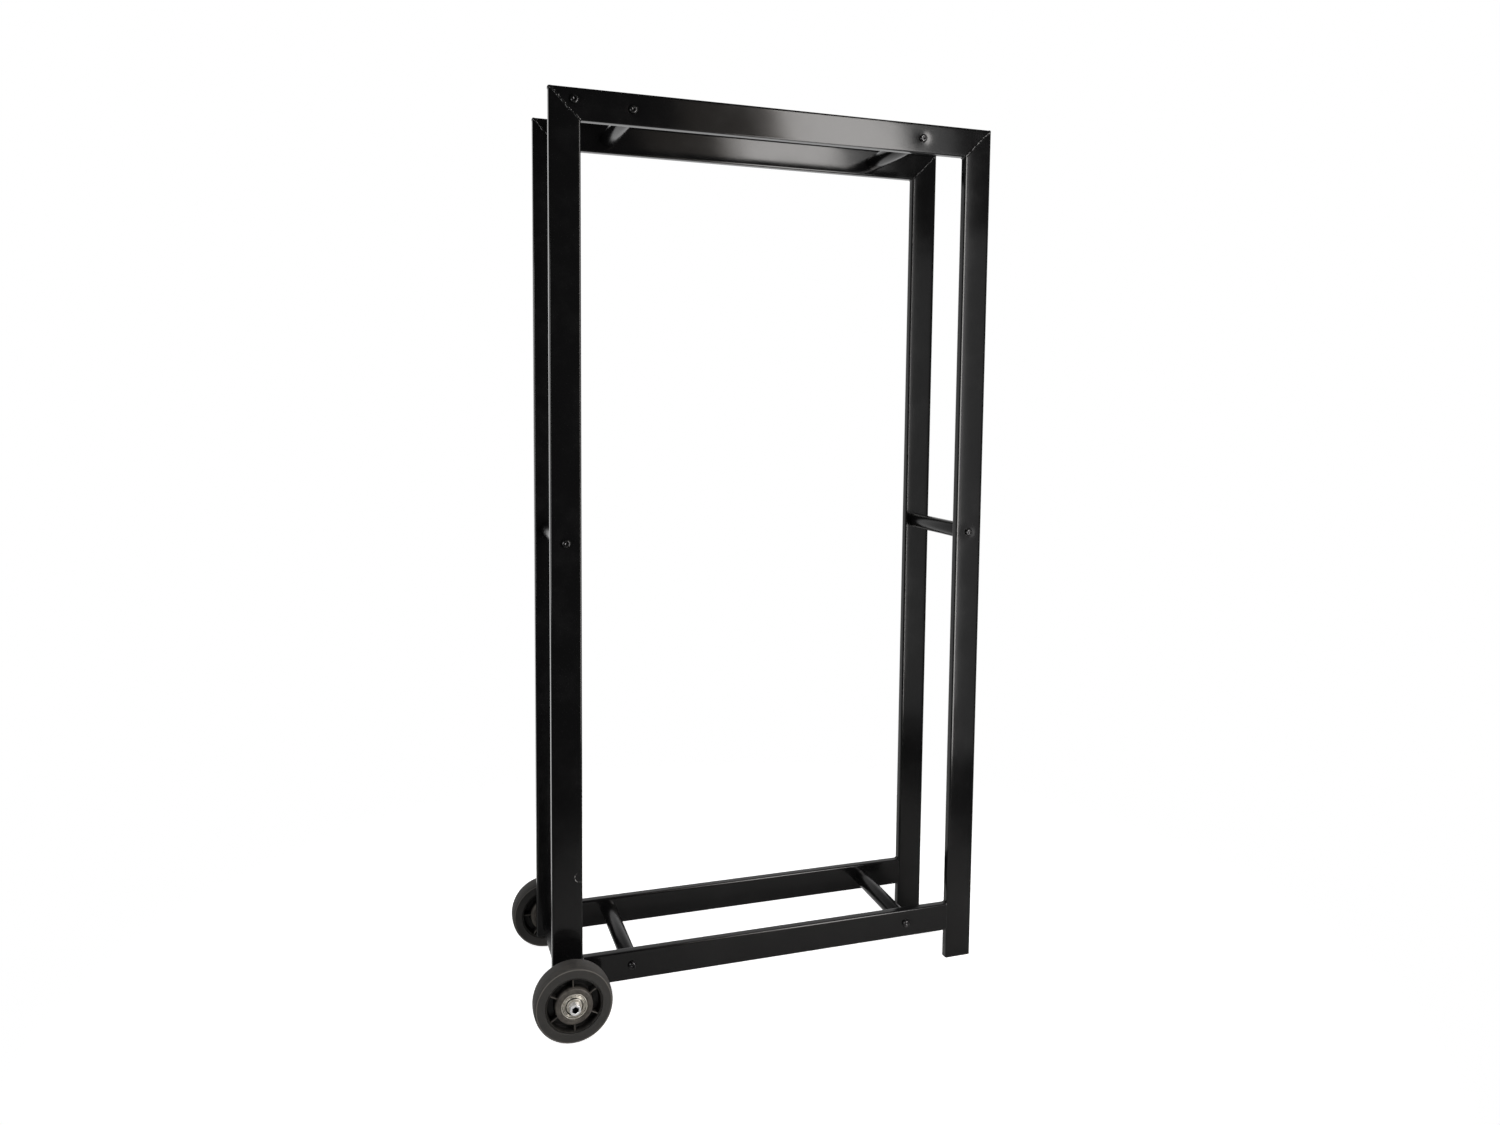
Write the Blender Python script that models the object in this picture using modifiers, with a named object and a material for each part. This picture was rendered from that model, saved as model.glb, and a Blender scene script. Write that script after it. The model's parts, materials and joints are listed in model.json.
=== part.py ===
"""Background support: two rectangular tube frames tied by round spacers, with a pair of wheels at one end.

Metres, +Z up, origin on the floor at the middle of the bounding box. X runs along the width from the
wheel end to the feet, and Y runs through the depth, with the front frame at -Y.
"""

import math

import bmesh
import bpy
from mathutils import Matrix, Vector

# Frames
FRAME_WIDTH = 0.775
FRAME_HEIGHT = 1.516
FRAME_GAP = 0.198
TUBE_FACE = 0.050
TUBE_DEPTH = 0.016
TUBE_WALL = 0.002
TUBE_CORNER = 0.0025
TUBE_INSIDE_CORNER = 0.0009
BOTTOM_RAIL_UNDERSIDE = 0.054
LEFT_POST_END = 0.050

# Spacers and their bolts
SPACER_DIAMETER = 0.028
SPACER_WALL = 0.0025
SPACER_END_LENGTH = 0.022
SPACER_INSET = 0.133
MIDDLE_SPACER_HEIGHT = 0.800
CORNER_BAR_INSET = 0.040
CORNER_BAR_DROP = 0.018
BOLT_DIAMETER = 0.008
BOLT_LENGTH = 0.032
BOLT_HEAD_DIAMETER = 0.014
BOLT_HEAD_HEIGHT = 0.0044
BOLT_HEAD_RIM = 0.0008
BOLT_HEAD_FLAT = 0.0072
BOLT_SOCKET = 0.005
BOLT_SOCKET_DEPTH = 0.0026

# Wheels, measured outwards from the outer face of the post
WHEEL_DIAMETER = 0.127
TYRE_INNER_FACE = 0.037
TYRE_OUTER_FACE = 0.0725
TYRE_BORE = 0.0920
TYRE_SIDE_DIAMETER = 0.1205
TYRE_SHOULDER_DIAMETER = 0.1248
TYRE_SHOULDER_DEPTH = 0.0040
TYRE_CROWN_DEPTH = 0.0105
TYRE_CROWN_DROP = 0.0002
TYRE_BORE_CHAMFER = 0.0012
CORE_RIM_DIAMETER = 0.0914
CORE_RIM_WALL = 0.0025
CORE_RIM_RECESS = 0.002
CORE_BOSS_DIAMETER = 0.0595
CORE_BOSS_PROUD = 0.002
CORE_BOSS_CHAMFER = 0.0008
CORE_BEARING_STOP = 0.0025
CORE_WEB_THICKNESS = 0.005
RIB_COUNT = 6
RIB_THICKNESS = 0.0022
RIB_CHAMFER = 0.0004
RIB_RECESS = 0.0035
CORE_TURN = {"front": 92.0, "rear": 4.0}
BEARING_OUTER_DIAMETER = 0.042
BEARING_RING_BORE = 0.036
BEARING_SHIELD_BORE = 0.026
BEARING_SHIELD_RECESS = 0.0006
BEARING_SHIELD_THICKNESS = 0.0008
BEARING_INNER_DIAMETER = 0.025
BEARING_BORE = 0.0126
BEARING_WIDTH = 0.012
BEARING_RECESS = 0.001

# Axle, along the same direction
AXLE_SCREW_DIAMETER = 0.012
AXLE_SCREW_REACH = 0.045
AXLE_HEAD_DIAMETER = 0.018
AXLE_HEAD_HEIGHT = 0.012
AXLE_HEAD_CHAMFER = 0.001
AXLE_SOCKET = 0.010
AXLE_SOCKET_DEPTH = 0.006
SLEEVE_DIAMETER = 0.017
AXLE_END_LENGTH = 0.034

# End plugs
FOOT_THICKNESS = 0.002
FOOT_PLUG_HEIGHT = 0.014
END_PLUG_HEIGHT = 0.005
PLUG_CORNER = 0.0008

# Smoothness of the round pieces
CORNER_SEGMENTS = 3
HOLE_SIDES = 16
BOLT_STEPS = 16
DOME_STEPS = 3
SHOULDER_STEPS = 2
SMALL_STEPS = 20
WHEEL_STEPS = 40
SHARP_ANGLE = 35.0
ROUND_PROFILE = 0.5
LONG_EDGE_COSINE = 0.9

GAP = 0.0003
CLEARANCE = 0.0005
MERGE = 0.00001
CUT_MARGIN = 0.010
MITRE_BLOCK = 0.200

# Places worked out from the sizes above
WHEEL_RADIUS = WHEEL_DIAMETER / 2
WHEEL_OVERHANG = WHEEL_RADIUS - TUBE_FACE / 2
LEFT = -(FRAME_WIDTH + WHEEL_OVERHANG) / 2 + WHEEL_OVERHANG
RIGHT = LEFT + FRAME_WIDTH
LEFT_POST_X = LEFT + TUBE_FACE / 2
RIGHT_POST_X = RIGHT - TUBE_FACE / 2
TOP_RAIL_Z = FRAME_HEIGHT - TUBE_FACE / 2
BOTTOM_RAIL_Z = BOTTOM_RAIL_UNDERSIDE + TUBE_FACE / 2
TUBE_Y = (FRAME_GAP + TUBE_DEPTH) / 2
OUTER_Y = FRAME_GAP / 2 + TUBE_DEPTH
WHEEL_MIDDLE = (TYRE_INNER_FACE + TYRE_OUTER_FACE) / 2
BOSS_HALF = (TYRE_OUTER_FACE - TYRE_INNER_FACE) / 2 + CORE_BOSS_PROUD
BEARING_FACE = BOSS_HALF - BEARING_RECESS

# Each spacer joins one frame to the other at this place across the frames
SPACER_PLACES = {
    "corner": (LEFT + CORNER_BAR_INSET, FRAME_HEIGHT - CORNER_BAR_DROP),
    "top_left": (LEFT + SPACER_INSET, TOP_RAIL_Z),
    "top_right": (RIGHT - SPACER_INSET, TOP_RAIL_Z),
    "middle_left": (LEFT_POST_X, MIDDLE_SPACER_HEIGHT),
    "middle_right": (RIGHT_POST_X, MIDDLE_SPACER_HEIGHT),
    "bottom_left": (LEFT + SPACER_INSET, BOTTOM_RAIL_Z),
    "bottom_right": (RIGHT - SPACER_INSET, BOTTOM_RAIL_Z),
}
AXLE_PLACE = (LEFT_POST_X, WHEEL_RADIUS)

# The sides of the object, with the sign of Y that points outwards there
SIDES = {"front": -1, "rear": 1}


def clear_scene():
    for old in list(bpy.data.objects):
        bpy.data.objects.remove(old, do_unlink=True)


def make_collection(name):
    collection = bpy.data.collections.new(name)
    bpy.context.scene.collection.children.link(collection)
    return collection


def make_material(name, colour, roughness, metallic):
    material = bpy.data.materials.new(name)
    material.use_nodes = True
    shader = material.node_tree.nodes["Principled BSDF"]
    shader.inputs["Base Color"].default_value = (*colour, 1.0)
    shader.inputs["Roughness"].default_value = roughness
    shader.inputs["Metallic"].default_value = metallic
    return material


def add_part(name, mesh, material, matrix=None):
    """One sub-part, which becomes one node."""
    part = bpy.data.objects.new(name, mesh)
    PARTS.objects.link(part)
    part.matrix_world = matrix if matrix is not None else Matrix()
    if not mesh.materials:
        mesh.materials.append(material)
    return part


def add_cutter(name, mesh, matrix=None):
    cutter = bpy.data.objects.new(name, mesh)
    CUTTERS.objects.link(cutter)
    cutter.matrix_world = matrix if matrix is not None else Matrix()
    cutter.hide_render = True
    cutter.display_type = "WIRE"
    return cutter


def combine(part, other, operation="DIFFERENCE"):
    boolean = part.modifiers.new(operation.lower(), "BOOLEAN")
    boolean.operation = operation
    boolean.solver = "EXACT"
    boolean.object = other


def finish_mesh(name, mesh_builder):
    mesh = bpy.data.meshes.new(name)
    mesh_builder.to_mesh(mesh)
    mesh_builder.free()
    return mesh


def rounded_bar(name, size, radius, long_axis, segments=1):
    """A box of the given size whose four long edges are rounded, or chamfered with one segment."""
    builder = bmesh.new()
    bmesh.ops.create_cube(builder, size=1.0)
    bmesh.ops.scale(builder, vec=size, verts=builder.verts)
    long_edges = []
    for edge in builder.edges:
        direction = (edge.verts[1].co - edge.verts[0].co).normalized()
        if abs(direction[long_axis]) > LONG_EDGE_COSINE:
            long_edges.append(edge)
    bmesh.ops.bevel(
        builder, geom=long_edges, offset=radius, segments=segments, profile=ROUND_PROFILE, affect="EDGES"
    )
    return finish_mesh(name, builder)


def round_bar(name, radius, length, segments):
    """A plain cylinder along local Z."""
    builder = bmesh.new()
    bmesh.ops.create_cone(
        builder, cap_ends=True, segments=segments, radius1=radius, radius2=radius, depth=length
    )
    return finish_mesh(name, builder)


def turned(name, profile, steps, closed):
    """A profile of (radius, height) points, outer side from top to bottom, turned about local Z."""
    builder = bmesh.new()
    points = [builder.verts.new((radius, 0.0, height)) for radius, height in profile]
    pairs = list(zip(points, points[1:]))
    if closed:
        pairs.append((points[-1], points[0]))
    for start, end in pairs:
        builder.edges.new((start, end))
    outline = bpy.data.objects.new(name, finish_mesh(name, builder))
    CUTTERS.objects.link(outline)
    screw = outline.modifiers.new("turn", "SCREW")
    screw.steps = steps
    screw.render_steps = steps
    screw.use_merge_vertices = True
    screw.merge_threshold = MERGE
    mesh = settled_mesh(outline)
    bpy.data.objects.remove(outline, do_unlink=True)
    smooth_round(mesh)
    return mesh


def settled_mesh(source):
    """The mesh that an object's modifiers make, as a mesh of its own."""
    graph = bpy.context.evaluated_depsgraph_get()
    mesh = bpy.data.meshes.new_from_object(source.evaluated_get(graph))
    mesh.name = source.name
    return mesh


def smooth_round(mesh):
    mesh.shade_smooth()
    mesh.set_sharp_from_angle(angle=math.radians(SHARP_ANGLE))


def outward(side, place):
    """Local Z points outwards from the outer face of the side's frame, at a place across the frames."""
    x, z = place
    sign = SIDES[side]
    return Matrix.Translation((x, sign * OUTER_Y, z)) @ Matrix.Rotation(-sign * math.pi / 2, 4, "X")


def across(place):
    """Local Z runs along Y, with the middle of the depth at the origin."""
    x, z = place
    return Matrix.Translation((x, 0.0, z)) @ Matrix.Rotation(math.pi / 2, 4, "X")


def drill(part, place, y, diameter, tag):
    """A round hole along Y through both walls of a tube."""
    bar = round_bar(f"{tag}_hole", diameter / 2, TUBE_DEPTH + 2 * CUT_MARGIN, HOLE_SIDES)
    x, z = place
    matrix = Matrix.Translation((x, y, z)) @ Matrix.Rotation(math.pi / 2, 4, "X")
    combine(part, add_cutter(f"{tag}_hole", bar, matrix))


def mitre(part, corner_x, y, direction, tag):
    """Cuts along the 45 degree line that runs from a top outer corner of the frame to the inside.

    direction is +1 or -1 across the frame, pointing from the corner to the middle. A post loses what
    is above the line, and a rail loses what is below it.
    """
    builder = bmesh.new()
    bmesh.ops.create_cube(builder, size=MITRE_BLOCK)
    block = finish_mesh(f"{tag}_mitre", builder)
    line = Vector((direction, 0.0, -1.0)).normalized()
    above = Vector((direction, 0.0, 1.0)).normalized()
    if tag.endswith("rail"):
        above = -above
    corner = Vector((corner_x, y, FRAME_HEIGHT))
    middle = corner + line * TUBE_FACE / 2 + above * (MITRE_BLOCK / 2 - GAP / 2)
    matrix = Matrix.Translation(middle) @ Matrix.Rotation(math.pi / 4, 4, "Y")
    combine(part, add_cutter(f"{tag}_mitre", block, matrix))


def hollow_tube(name, centre, length, long_axis):
    """A rectangular tube, open at both ends, that runs along X (0) or Z (2)."""
    outer = [TUBE_FACE, TUBE_DEPTH, TUBE_FACE]
    outer[long_axis] = length
    inner = [extent - 2 * TUBE_WALL for extent in outer]
    inner[long_axis] = length + 2 * CUT_MARGIN
    matrix = Matrix.Translation(centre)
    skin = rounded_bar(name, outer, TUBE_CORNER, long_axis, CORNER_SEGMENTS)
    tube = add_part(name, skin, PAINT, matrix)
    core = rounded_bar(f"{name}_bore", inner, TUBE_INSIDE_CORNER, long_axis)
    combine(tube, add_cutter(f"{name}_bore", core, matrix))
    return tube


def make_frame(side):
    y = SIDES[side] * TUBE_Y
    hole = BOLT_DIAMETER + 2 * CLEARANCE

    bottom = LEFT_POST_END + GAP
    height = FRAME_HEIGHT - bottom
    left_post = hollow_tube(f"{side}_left_post", (LEFT_POST_X, y, bottom + height / 2), height, 2)
    mitre(left_post, LEFT, y, 1, f"{side}_left_post")
    drill(left_post, SPACER_PLACES["middle_left"], y, hole, f"{side}_left_post_bolt")
    drill(left_post, AXLE_PLACE, y, AXLE_SCREW_DIAMETER + 2 * CLEARANCE, f"{side}_left_post_axle")

    bottom = FOOT_THICKNESS + GAP
    height = FRAME_HEIGHT - bottom
    right_post = hollow_tube(f"{side}_right_post", (RIGHT_POST_X, y, bottom + height / 2), height, 2)
    mitre(right_post, RIGHT, y, -1, f"{side}_right_post")
    drill(right_post, SPACER_PLACES["middle_right"], y, hole, f"{side}_right_post_bolt")

    middle = (LEFT + RIGHT) / 2
    top_rail = hollow_tube(f"{side}_top_rail", (middle, y, TOP_RAIL_Z), FRAME_WIDTH, 0)
    mitre(top_rail, LEFT, y, 1, f"{side}_left_top_rail")
    mitre(top_rail, RIGHT, y, -1, f"{side}_right_top_rail")
    for place in ("corner", "top_left", "top_right"):
        drill(top_rail, SPACER_PLACES[place], y, hole, f"{side}_top_rail_{place}")

    length = FRAME_WIDTH - 2 * TUBE_FACE - 2 * GAP
    bottom_rail = hollow_tube(f"{side}_bottom_rail", (middle, y, BOTTOM_RAIL_Z), length, 0)
    for place in ("bottom_left", "bottom_right"):
        drill(bottom_rail, SPACER_PLACES[place], y, hole, f"{side}_bottom_rail_{place}")


def make_plug(name, x, y, face_z, body_height, thickness):
    """A plastic plug pushed into the end of a post, with a flange as wide as the tube."""
    flange = rounded_bar(name, (TUBE_FACE, TUBE_DEPTH, thickness), TUBE_CORNER, 2, CORNER_SEGMENTS)
    plug = add_part(name, flange, PLASTIC, Matrix.Translation((x, y, face_z + thickness / 2)))
    fit = TUBE_WALL + GAP
    body_size = (TUBE_FACE - 2 * fit, TUBE_DEPTH - 2 * fit, body_height + thickness / 2)
    body = rounded_bar(f"{name}_body", body_size, PLUG_CORNER, 2)
    body_z = face_z + thickness / 2 + body_size[2] / 2
    combine(plug, add_cutter(f"{name}_body", body, Matrix.Translation((x, y, body_z))), "UNION")


def make_plugs():
    for side, sign in SIDES.items():
        y = sign * TUBE_Y
        make_plug(f"{side}_right_foot", RIGHT_POST_X, y, 0.0, FOOT_PLUG_HEIGHT, FOOT_THICKNESS)
        end_z = LEFT_POST_END - FOOT_THICKNESS
        make_plug(f"{side}_left_end_plug", LEFT_POST_X, y, end_z, END_PLUG_HEIGHT, FOOT_THICKNESS)


def spacer_mesh(name, bolt_diameter, end_length):
    """A round tube with thick ends, bored for a bolt at each end."""
    outer = SPACER_DIAMETER / 2
    cavity = outer - SPACER_WALL
    bore = bolt_diameter / 2 + GAP
    end = FRAME_GAP / 2 - GAP
    shoulder = end - end_length
    profile = [
        (outer, end),
        (outer, -end),
        (bore, -end),
        (bore, -shoulder),
        (cavity, -shoulder),
        (cavity, shoulder),
        (bore, shoulder),
        (bore, end),
    ]
    return turned(name, profile, SMALL_STEPS, closed=True)


def make_spacers():
    shared = spacer_mesh("spacer", BOLT_DIAMETER, SPACER_END_LENGTH)
    for place, position in SPACER_PLACES.items():
        name = "corner_bar" if place == "corner" else f"{place}_spacer"
        add_part(name, shared, SPACER_PAINT, across(position))
    axle = spacer_mesh("axle_tube", AXLE_SCREW_DIAMETER, AXLE_END_LENGTH)
    add_part("axle_tube", axle, SPACER_PAINT, across(AXLE_PLACE))


def screw_mesh(name, head_profile, shank_radius, shank_end, socket, socket_depth):
    """A screw about local Z, with the head's underside at its lowest profile point, and a hex socket."""
    head_bottom = head_profile[-1][1]
    top = head_profile[0][1]
    profile = [(0.0, top)] + head_profile
    profile += [(shank_radius, head_bottom), (shank_radius, shank_end), (0.0, shank_end)]
    blank = bpy.data.objects.new(name, turned(name, profile, BOLT_STEPS, closed=False))
    CUTTERS.objects.link(blank)
    hexagon = round_bar(f"{name}_socket", socket / math.sqrt(3.0), 2 * socket_depth, 6)
    cutter = add_cutter(f"{name}_socket", hexagon, Matrix.Translation((0.0, 0.0, top)))
    combine(blank, cutter)
    mesh = settled_mesh(blank)
    bpy.data.objects.remove(blank, do_unlink=True)
    bpy.data.objects.remove(cutter, do_unlink=True)
    smooth_round(mesh)
    return mesh


def make_bolts():
    """A button-head bolt on the outer face of each frame, at both ends of every spacer."""
    radius = BOLT_HEAD_DIAMETER / 2
    flat_radius = BOLT_HEAD_FLAT / 2
    rim_top = GAP + BOLT_HEAD_RIM
    dome = []
    for step in range(DOME_STEPS + 1):
        angle = math.radians(90.0 * step / DOME_STEPS)
        across_head = flat_radius + (radius - flat_radius) * math.sin(angle)
        dome.append((across_head, rim_top + (BOLT_HEAD_HEIGHT - BOLT_HEAD_RIM) * math.cos(angle)))
    dome.append((radius, GAP))
    shank_end = GAP - BOLT_LENGTH
    shared = screw_mesh("button_bolt", dome, BOLT_DIAMETER / 2, shank_end, BOLT_SOCKET, BOLT_SOCKET_DEPTH)
    for side in SIDES:
        for place, position in SPACER_PLACES.items():
            add_part(f"{side}_{place}_bolt", shared, BOLT_STEEL, outward(side, position))


def tyre_mesh():
    """A solid tyre with flat sides, soft shoulders and a slightly crowned tread, centred on its width."""
    half = (TYRE_OUTER_FACE - TYRE_INNER_FACE) / 2
    bore = TYRE_BORE / 2
    side = TYRE_SIDE_DIAMETER / 2
    shoulder = TYRE_SHOULDER_DIAMETER / 2
    tread = []
    for step in range(SHOULDER_STEPS + 1):
        angle = math.radians(90.0 * step / SHOULDER_STEPS)
        radius = side + (shoulder - side) * math.sin(angle)
        tread.append((radius, half - TYRE_SHOULDER_DEPTH * (1.0 - math.cos(angle))))
    tread.append((WHEEL_RADIUS - TYRE_CROWN_DROP, half - TYRE_CROWN_DEPTH))
    bore_edge = [(bore, half - TYRE_BORE_CHAMFER), (bore + TYRE_BORE_CHAMFER, half)]
    profile = tread + [(WHEEL_RADIUS, 0.0)]
    profile += [(radius, -height) for radius, height in reversed(bore_edge + tread)]
    profile += bore_edge
    return turned("tyre", profile, WHEEL_STEPS, closed=True)


def core_mesh():
    """A moulded wheel centre: bearing boss, web, rim, and ribs on both faces of the web."""
    boss = CORE_BOSS_DIAMETER / 2
    bore = BEARING_OUTER_DIAMETER / 2 + GAP
    stop_bore = bore - CORE_BEARING_STOP
    seat = BEARING_FACE - BEARING_WIDTH - GAP
    rim = CORE_RIM_DIAMETER / 2
    rim_inside = rim - CORE_RIM_WALL
    rim_half = (TYRE_OUTER_FACE - TYRE_INNER_FACE) / 2 - CORE_RIM_RECESS
    web = CORE_WEB_THICKNESS / 2
    profile = [
        (rim, rim_half),
        (rim, -rim_half),
        (rim_inside, -rim_half),
        (rim_inside, -web),
        (boss, -web),
        (boss, -BOSS_HALF + CORE_BOSS_CHAMFER),
        (boss - CORE_BOSS_CHAMFER, -BOSS_HALF),
        (bore, -BOSS_HALF),
        (bore, -seat),
        (stop_bore, -seat),
        (stop_bore, seat),
        (bore, seat),
        (bore, BOSS_HALF),
        (boss - CORE_BOSS_CHAMFER, BOSS_HALF),
        (boss, BOSS_HALF - CORE_BOSS_CHAMFER),
        (boss, web),
        (rim_inside, web),
        (rim_inside, rim_half),
    ]
    blank = bpy.data.objects.new("wheel_core", turned("wheel_core", profile, WHEEL_STEPS, closed=True))
    CUTTERS.objects.link(blank)
    rib_inner = (boss + bore) / 2
    rib_outer = rim - CORE_RIM_WALL / 2
    rib_half = (TYRE_OUTER_FACE - TYRE_INNER_FACE) / 2 - RIB_RECESS
    rib_size = (rib_outer - rib_inner, RIB_THICKNESS, 2 * rib_half)
    ribs = []
    for index in range(RIB_COUNT):
        angle = math.radians(360.0 * index / RIB_COUNT)
        middle = Matrix.Translation(((rib_inner + rib_outer) / 2, 0.0, 0.0))
        matrix = Matrix.Rotation(angle, 4, "Z") @ middle
        rib = rounded_bar(f"rib_{index}", rib_size, RIB_CHAMFER, 0)
        ribs.append(add_cutter(f"rib_{index}", rib, matrix))
        combine(blank, ribs[-1], "UNION")
    mesh = settled_mesh(blank)
    for helper in [blank] + ribs:
        bpy.data.objects.remove(helper, do_unlink=True)
    smooth_round(mesh)
    return mesh


def bearing_outer_mesh():
    """An outer ring with a thin shield at each face, centred on its width."""
    half = BEARING_WIDTH / 2
    outer = BEARING_OUTER_DIAMETER / 2
    ring_bore = BEARING_RING_BORE / 2
    shield_bore = BEARING_SHIELD_BORE / 2
    shield_face = half - BEARING_SHIELD_RECESS
    shield_back = shield_face - BEARING_SHIELD_THICKNESS
    upper = [(shield_bore, shield_back), (shield_bore, shield_face), (ring_bore, shield_face)]
    upper.append((ring_bore, half))
    lower = [(radius, -height) for radius, height in reversed(upper)]
    profile = [(outer, half), (outer, -half)] + lower
    profile += [(ring_bore, -shield_back), (ring_bore, shield_back)] + upper
    return turned("bearing_outer", profile, SMALL_STEPS, closed=True)


def plain_ring_mesh(name, outer_diameter, bore_diameter, length):
    """A plain round sleeve, centred on its length."""
    outer, bore, half = outer_diameter / 2, bore_diameter / 2, length / 2
    profile = [(outer, half), (outer, -half), (bore, -half), (bore, half)]
    return turned(name, profile, SMALL_STEPS, closed=True)


def axle_screw_mesh(head_underside):
    """A socket cap screw whose shank reaches through the wheel and the post into the axle tube."""
    radius = AXLE_HEAD_DIAMETER / 2
    top = head_underside + AXLE_HEAD_HEIGHT
    head = [(radius - AXLE_HEAD_CHAMFER, top), (radius, top - AXLE_HEAD_CHAMFER), (radius, head_underside)]
    return screw_mesh(
        "axle_screw", head, AXLE_SCREW_DIAMETER / 2, -AXLE_SCREW_REACH, AXLE_SOCKET, AXLE_SOCKET_DEPTH
    )


def along(hub, distance):
    """The place at this distance outwards along a hub's local Z."""
    return hub @ Matrix.Translation((0.0, 0.0, distance))


def make_wheels():
    """Both wheels, each carried by a cap screw outside its left post."""
    bearing_middle = BEARING_FACE - BEARING_WIDTH / 2
    inboard_face = WHEEL_MIDDLE - BEARING_FACE
    outboard_face = WHEEL_MIDDLE + BEARING_FACE
    inner_gap = 2 * (BEARING_FACE - BEARING_WIDTH)
    standoff_length = inboard_face - 2 * GAP
    head_underside = outboard_face + GAP

    tyre = tyre_mesh()
    core = core_mesh()
    outer_ring = bearing_outer_mesh()
    inner_ring = plain_ring_mesh("bearing_inner", BEARING_INNER_DIAMETER, BEARING_BORE, BEARING_WIDTH)
    sleeve_length = inner_gap - 2 * GAP
    bearing_sleeve = plain_ring_mesh("bearing_sleeve", SLEEVE_DIAMETER, BEARING_BORE, sleeve_length)
    standoff = plain_ring_mesh("standoff", SPACER_DIAMETER, BEARING_BORE, standoff_length)
    screw = axle_screw_mesh(head_underside)

    for side in SIDES:
        hub = outward(side, AXLE_PLACE)
        wheel = along(hub, WHEEL_MIDDLE)
        turn = Matrix.Rotation(math.radians(CORE_TURN[side]), 4, "Z")
        add_part(f"{side}_tyre", tyre, RUBBER, wheel)
        add_part(f"{side}_wheel_core", core, CORE_PLASTIC, wheel @ turn)
        for station, offset in (("inboard", -bearing_middle), ("outboard", bearing_middle)):
            place = along(wheel, offset)
            add_part(f"{side}_{station}_bearing_outer_ring", outer_ring, BRIGHT_STEEL, place)
            add_part(f"{side}_{station}_bearing_inner_ring", inner_ring, BRIGHT_STEEL, place)
        add_part(f"{side}_bearing_sleeve", bearing_sleeve, BRIGHT_STEEL, wheel)
        add_part(f"{side}_standoff_sleeve", standoff, SPACER_PAINT, along(hub, inboard_face / 2))
        add_part(f"{side}_axle_screw", screw, BRIGHT_STEEL, hub)


clear_scene()
PARTS = make_collection("background_support")
CUTTERS = make_collection("cutters")
PAINT = make_material("black_paint", (0.012, 0.012, 0.013), 0.35, 0.0)
SPACER_PAINT = make_material("spacer_paint", (0.014, 0.014, 0.015), 0.38, 0.0)
BOLT_STEEL = make_material("black_bolt", (0.012, 0.012, 0.013), 0.40, 0.6)
BRIGHT_STEEL = make_material("bright_steel", (0.60, 0.59, 0.56), 0.25, 1.0)
RUBBER = make_material("tyre_rubber", (0.035, 0.033, 0.031), 0.75, 0.0)
CORE_PLASTIC = make_material("core_plastic", (0.030, 0.028, 0.025), 0.55, 0.0)
PLASTIC = make_material("black_plastic", (0.015, 0.015, 0.015), 0.50, 0.0)

for frame_side in SIDES:
    make_frame(frame_side)
make_plugs()
make_spacers()
make_bolts()
make_wheels()
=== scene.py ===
"""Looks of the background support: painted tube frames, weld beads, spacers, bolts and rubber wheels.

Metres, +Z up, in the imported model's own frame. X runs across the frames from the wheels to the feet,
and the front frame is at -Y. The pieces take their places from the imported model.
"""

import json
import math
import random

import bmesh
import bpy
from mathutils import Matrix, Vector, noise


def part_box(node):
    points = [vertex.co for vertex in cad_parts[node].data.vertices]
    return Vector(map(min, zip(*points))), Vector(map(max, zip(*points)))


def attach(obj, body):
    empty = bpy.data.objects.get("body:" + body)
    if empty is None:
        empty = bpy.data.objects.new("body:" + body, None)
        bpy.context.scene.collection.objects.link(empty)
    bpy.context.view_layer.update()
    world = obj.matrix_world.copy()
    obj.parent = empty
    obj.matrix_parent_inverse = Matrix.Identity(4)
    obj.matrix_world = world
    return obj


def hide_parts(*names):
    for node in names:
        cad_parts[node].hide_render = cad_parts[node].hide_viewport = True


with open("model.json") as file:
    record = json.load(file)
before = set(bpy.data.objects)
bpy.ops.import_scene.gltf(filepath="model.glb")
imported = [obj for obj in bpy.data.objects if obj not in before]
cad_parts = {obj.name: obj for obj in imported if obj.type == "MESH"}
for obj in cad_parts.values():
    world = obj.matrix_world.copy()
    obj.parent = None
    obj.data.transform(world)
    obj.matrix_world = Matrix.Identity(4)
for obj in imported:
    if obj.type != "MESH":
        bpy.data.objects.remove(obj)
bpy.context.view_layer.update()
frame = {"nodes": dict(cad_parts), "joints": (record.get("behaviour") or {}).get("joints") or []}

# Camera
CAMERA_PLACE = (-0.5965, -1.9147, 1.0244)
CAMERA_AZIMUTH = 19.196
CAMERA_ELEVATION = -4.690
CAMERA_ROLL = 0.715
CAMERA_LENS = 26.825
CAMERA_SHIFT = (-0.0242, -0.0431)

# Fineness
CHANCE_SEED = 11
MERGE = 1e-7
SMOOTH_ANGLE = 32.0
PART_SMOOTH_ANGLE = 40.0
TYRE_SMOOTH_ANGLE = 48.0
RING_SMOOTH_ANGLE = 50.0
BEAD_SMOOTH_ANGLE = 60.0
BAR_STEPS = 72
BEARING_STEPS = 96
BOLT_STEPS = 60

# Painted tubes
TUBE_CORNER = 0.0025
CORNER_STEPS = 6
WIDE_STEPS = 20
NARROW_STEPS = 4
LONG_STEP = 0.030
FACE_BULGE = 0.00035
EDGE_FALL = 0.0003
DENT_DEPTH = 0.0009
DENT_RADIUS = 0.0115
DENT_REACH = 0.034
DENT_STEP = 0.003
DENT_WEAKEST = 0.65
DENT_VARIATION = 0.5
MITRE_GAP = 0.0001
MITRE_REACH = 2.5
EDGE_FALL_POWER = 8
DENT_FADE_POWER = 6

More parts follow.
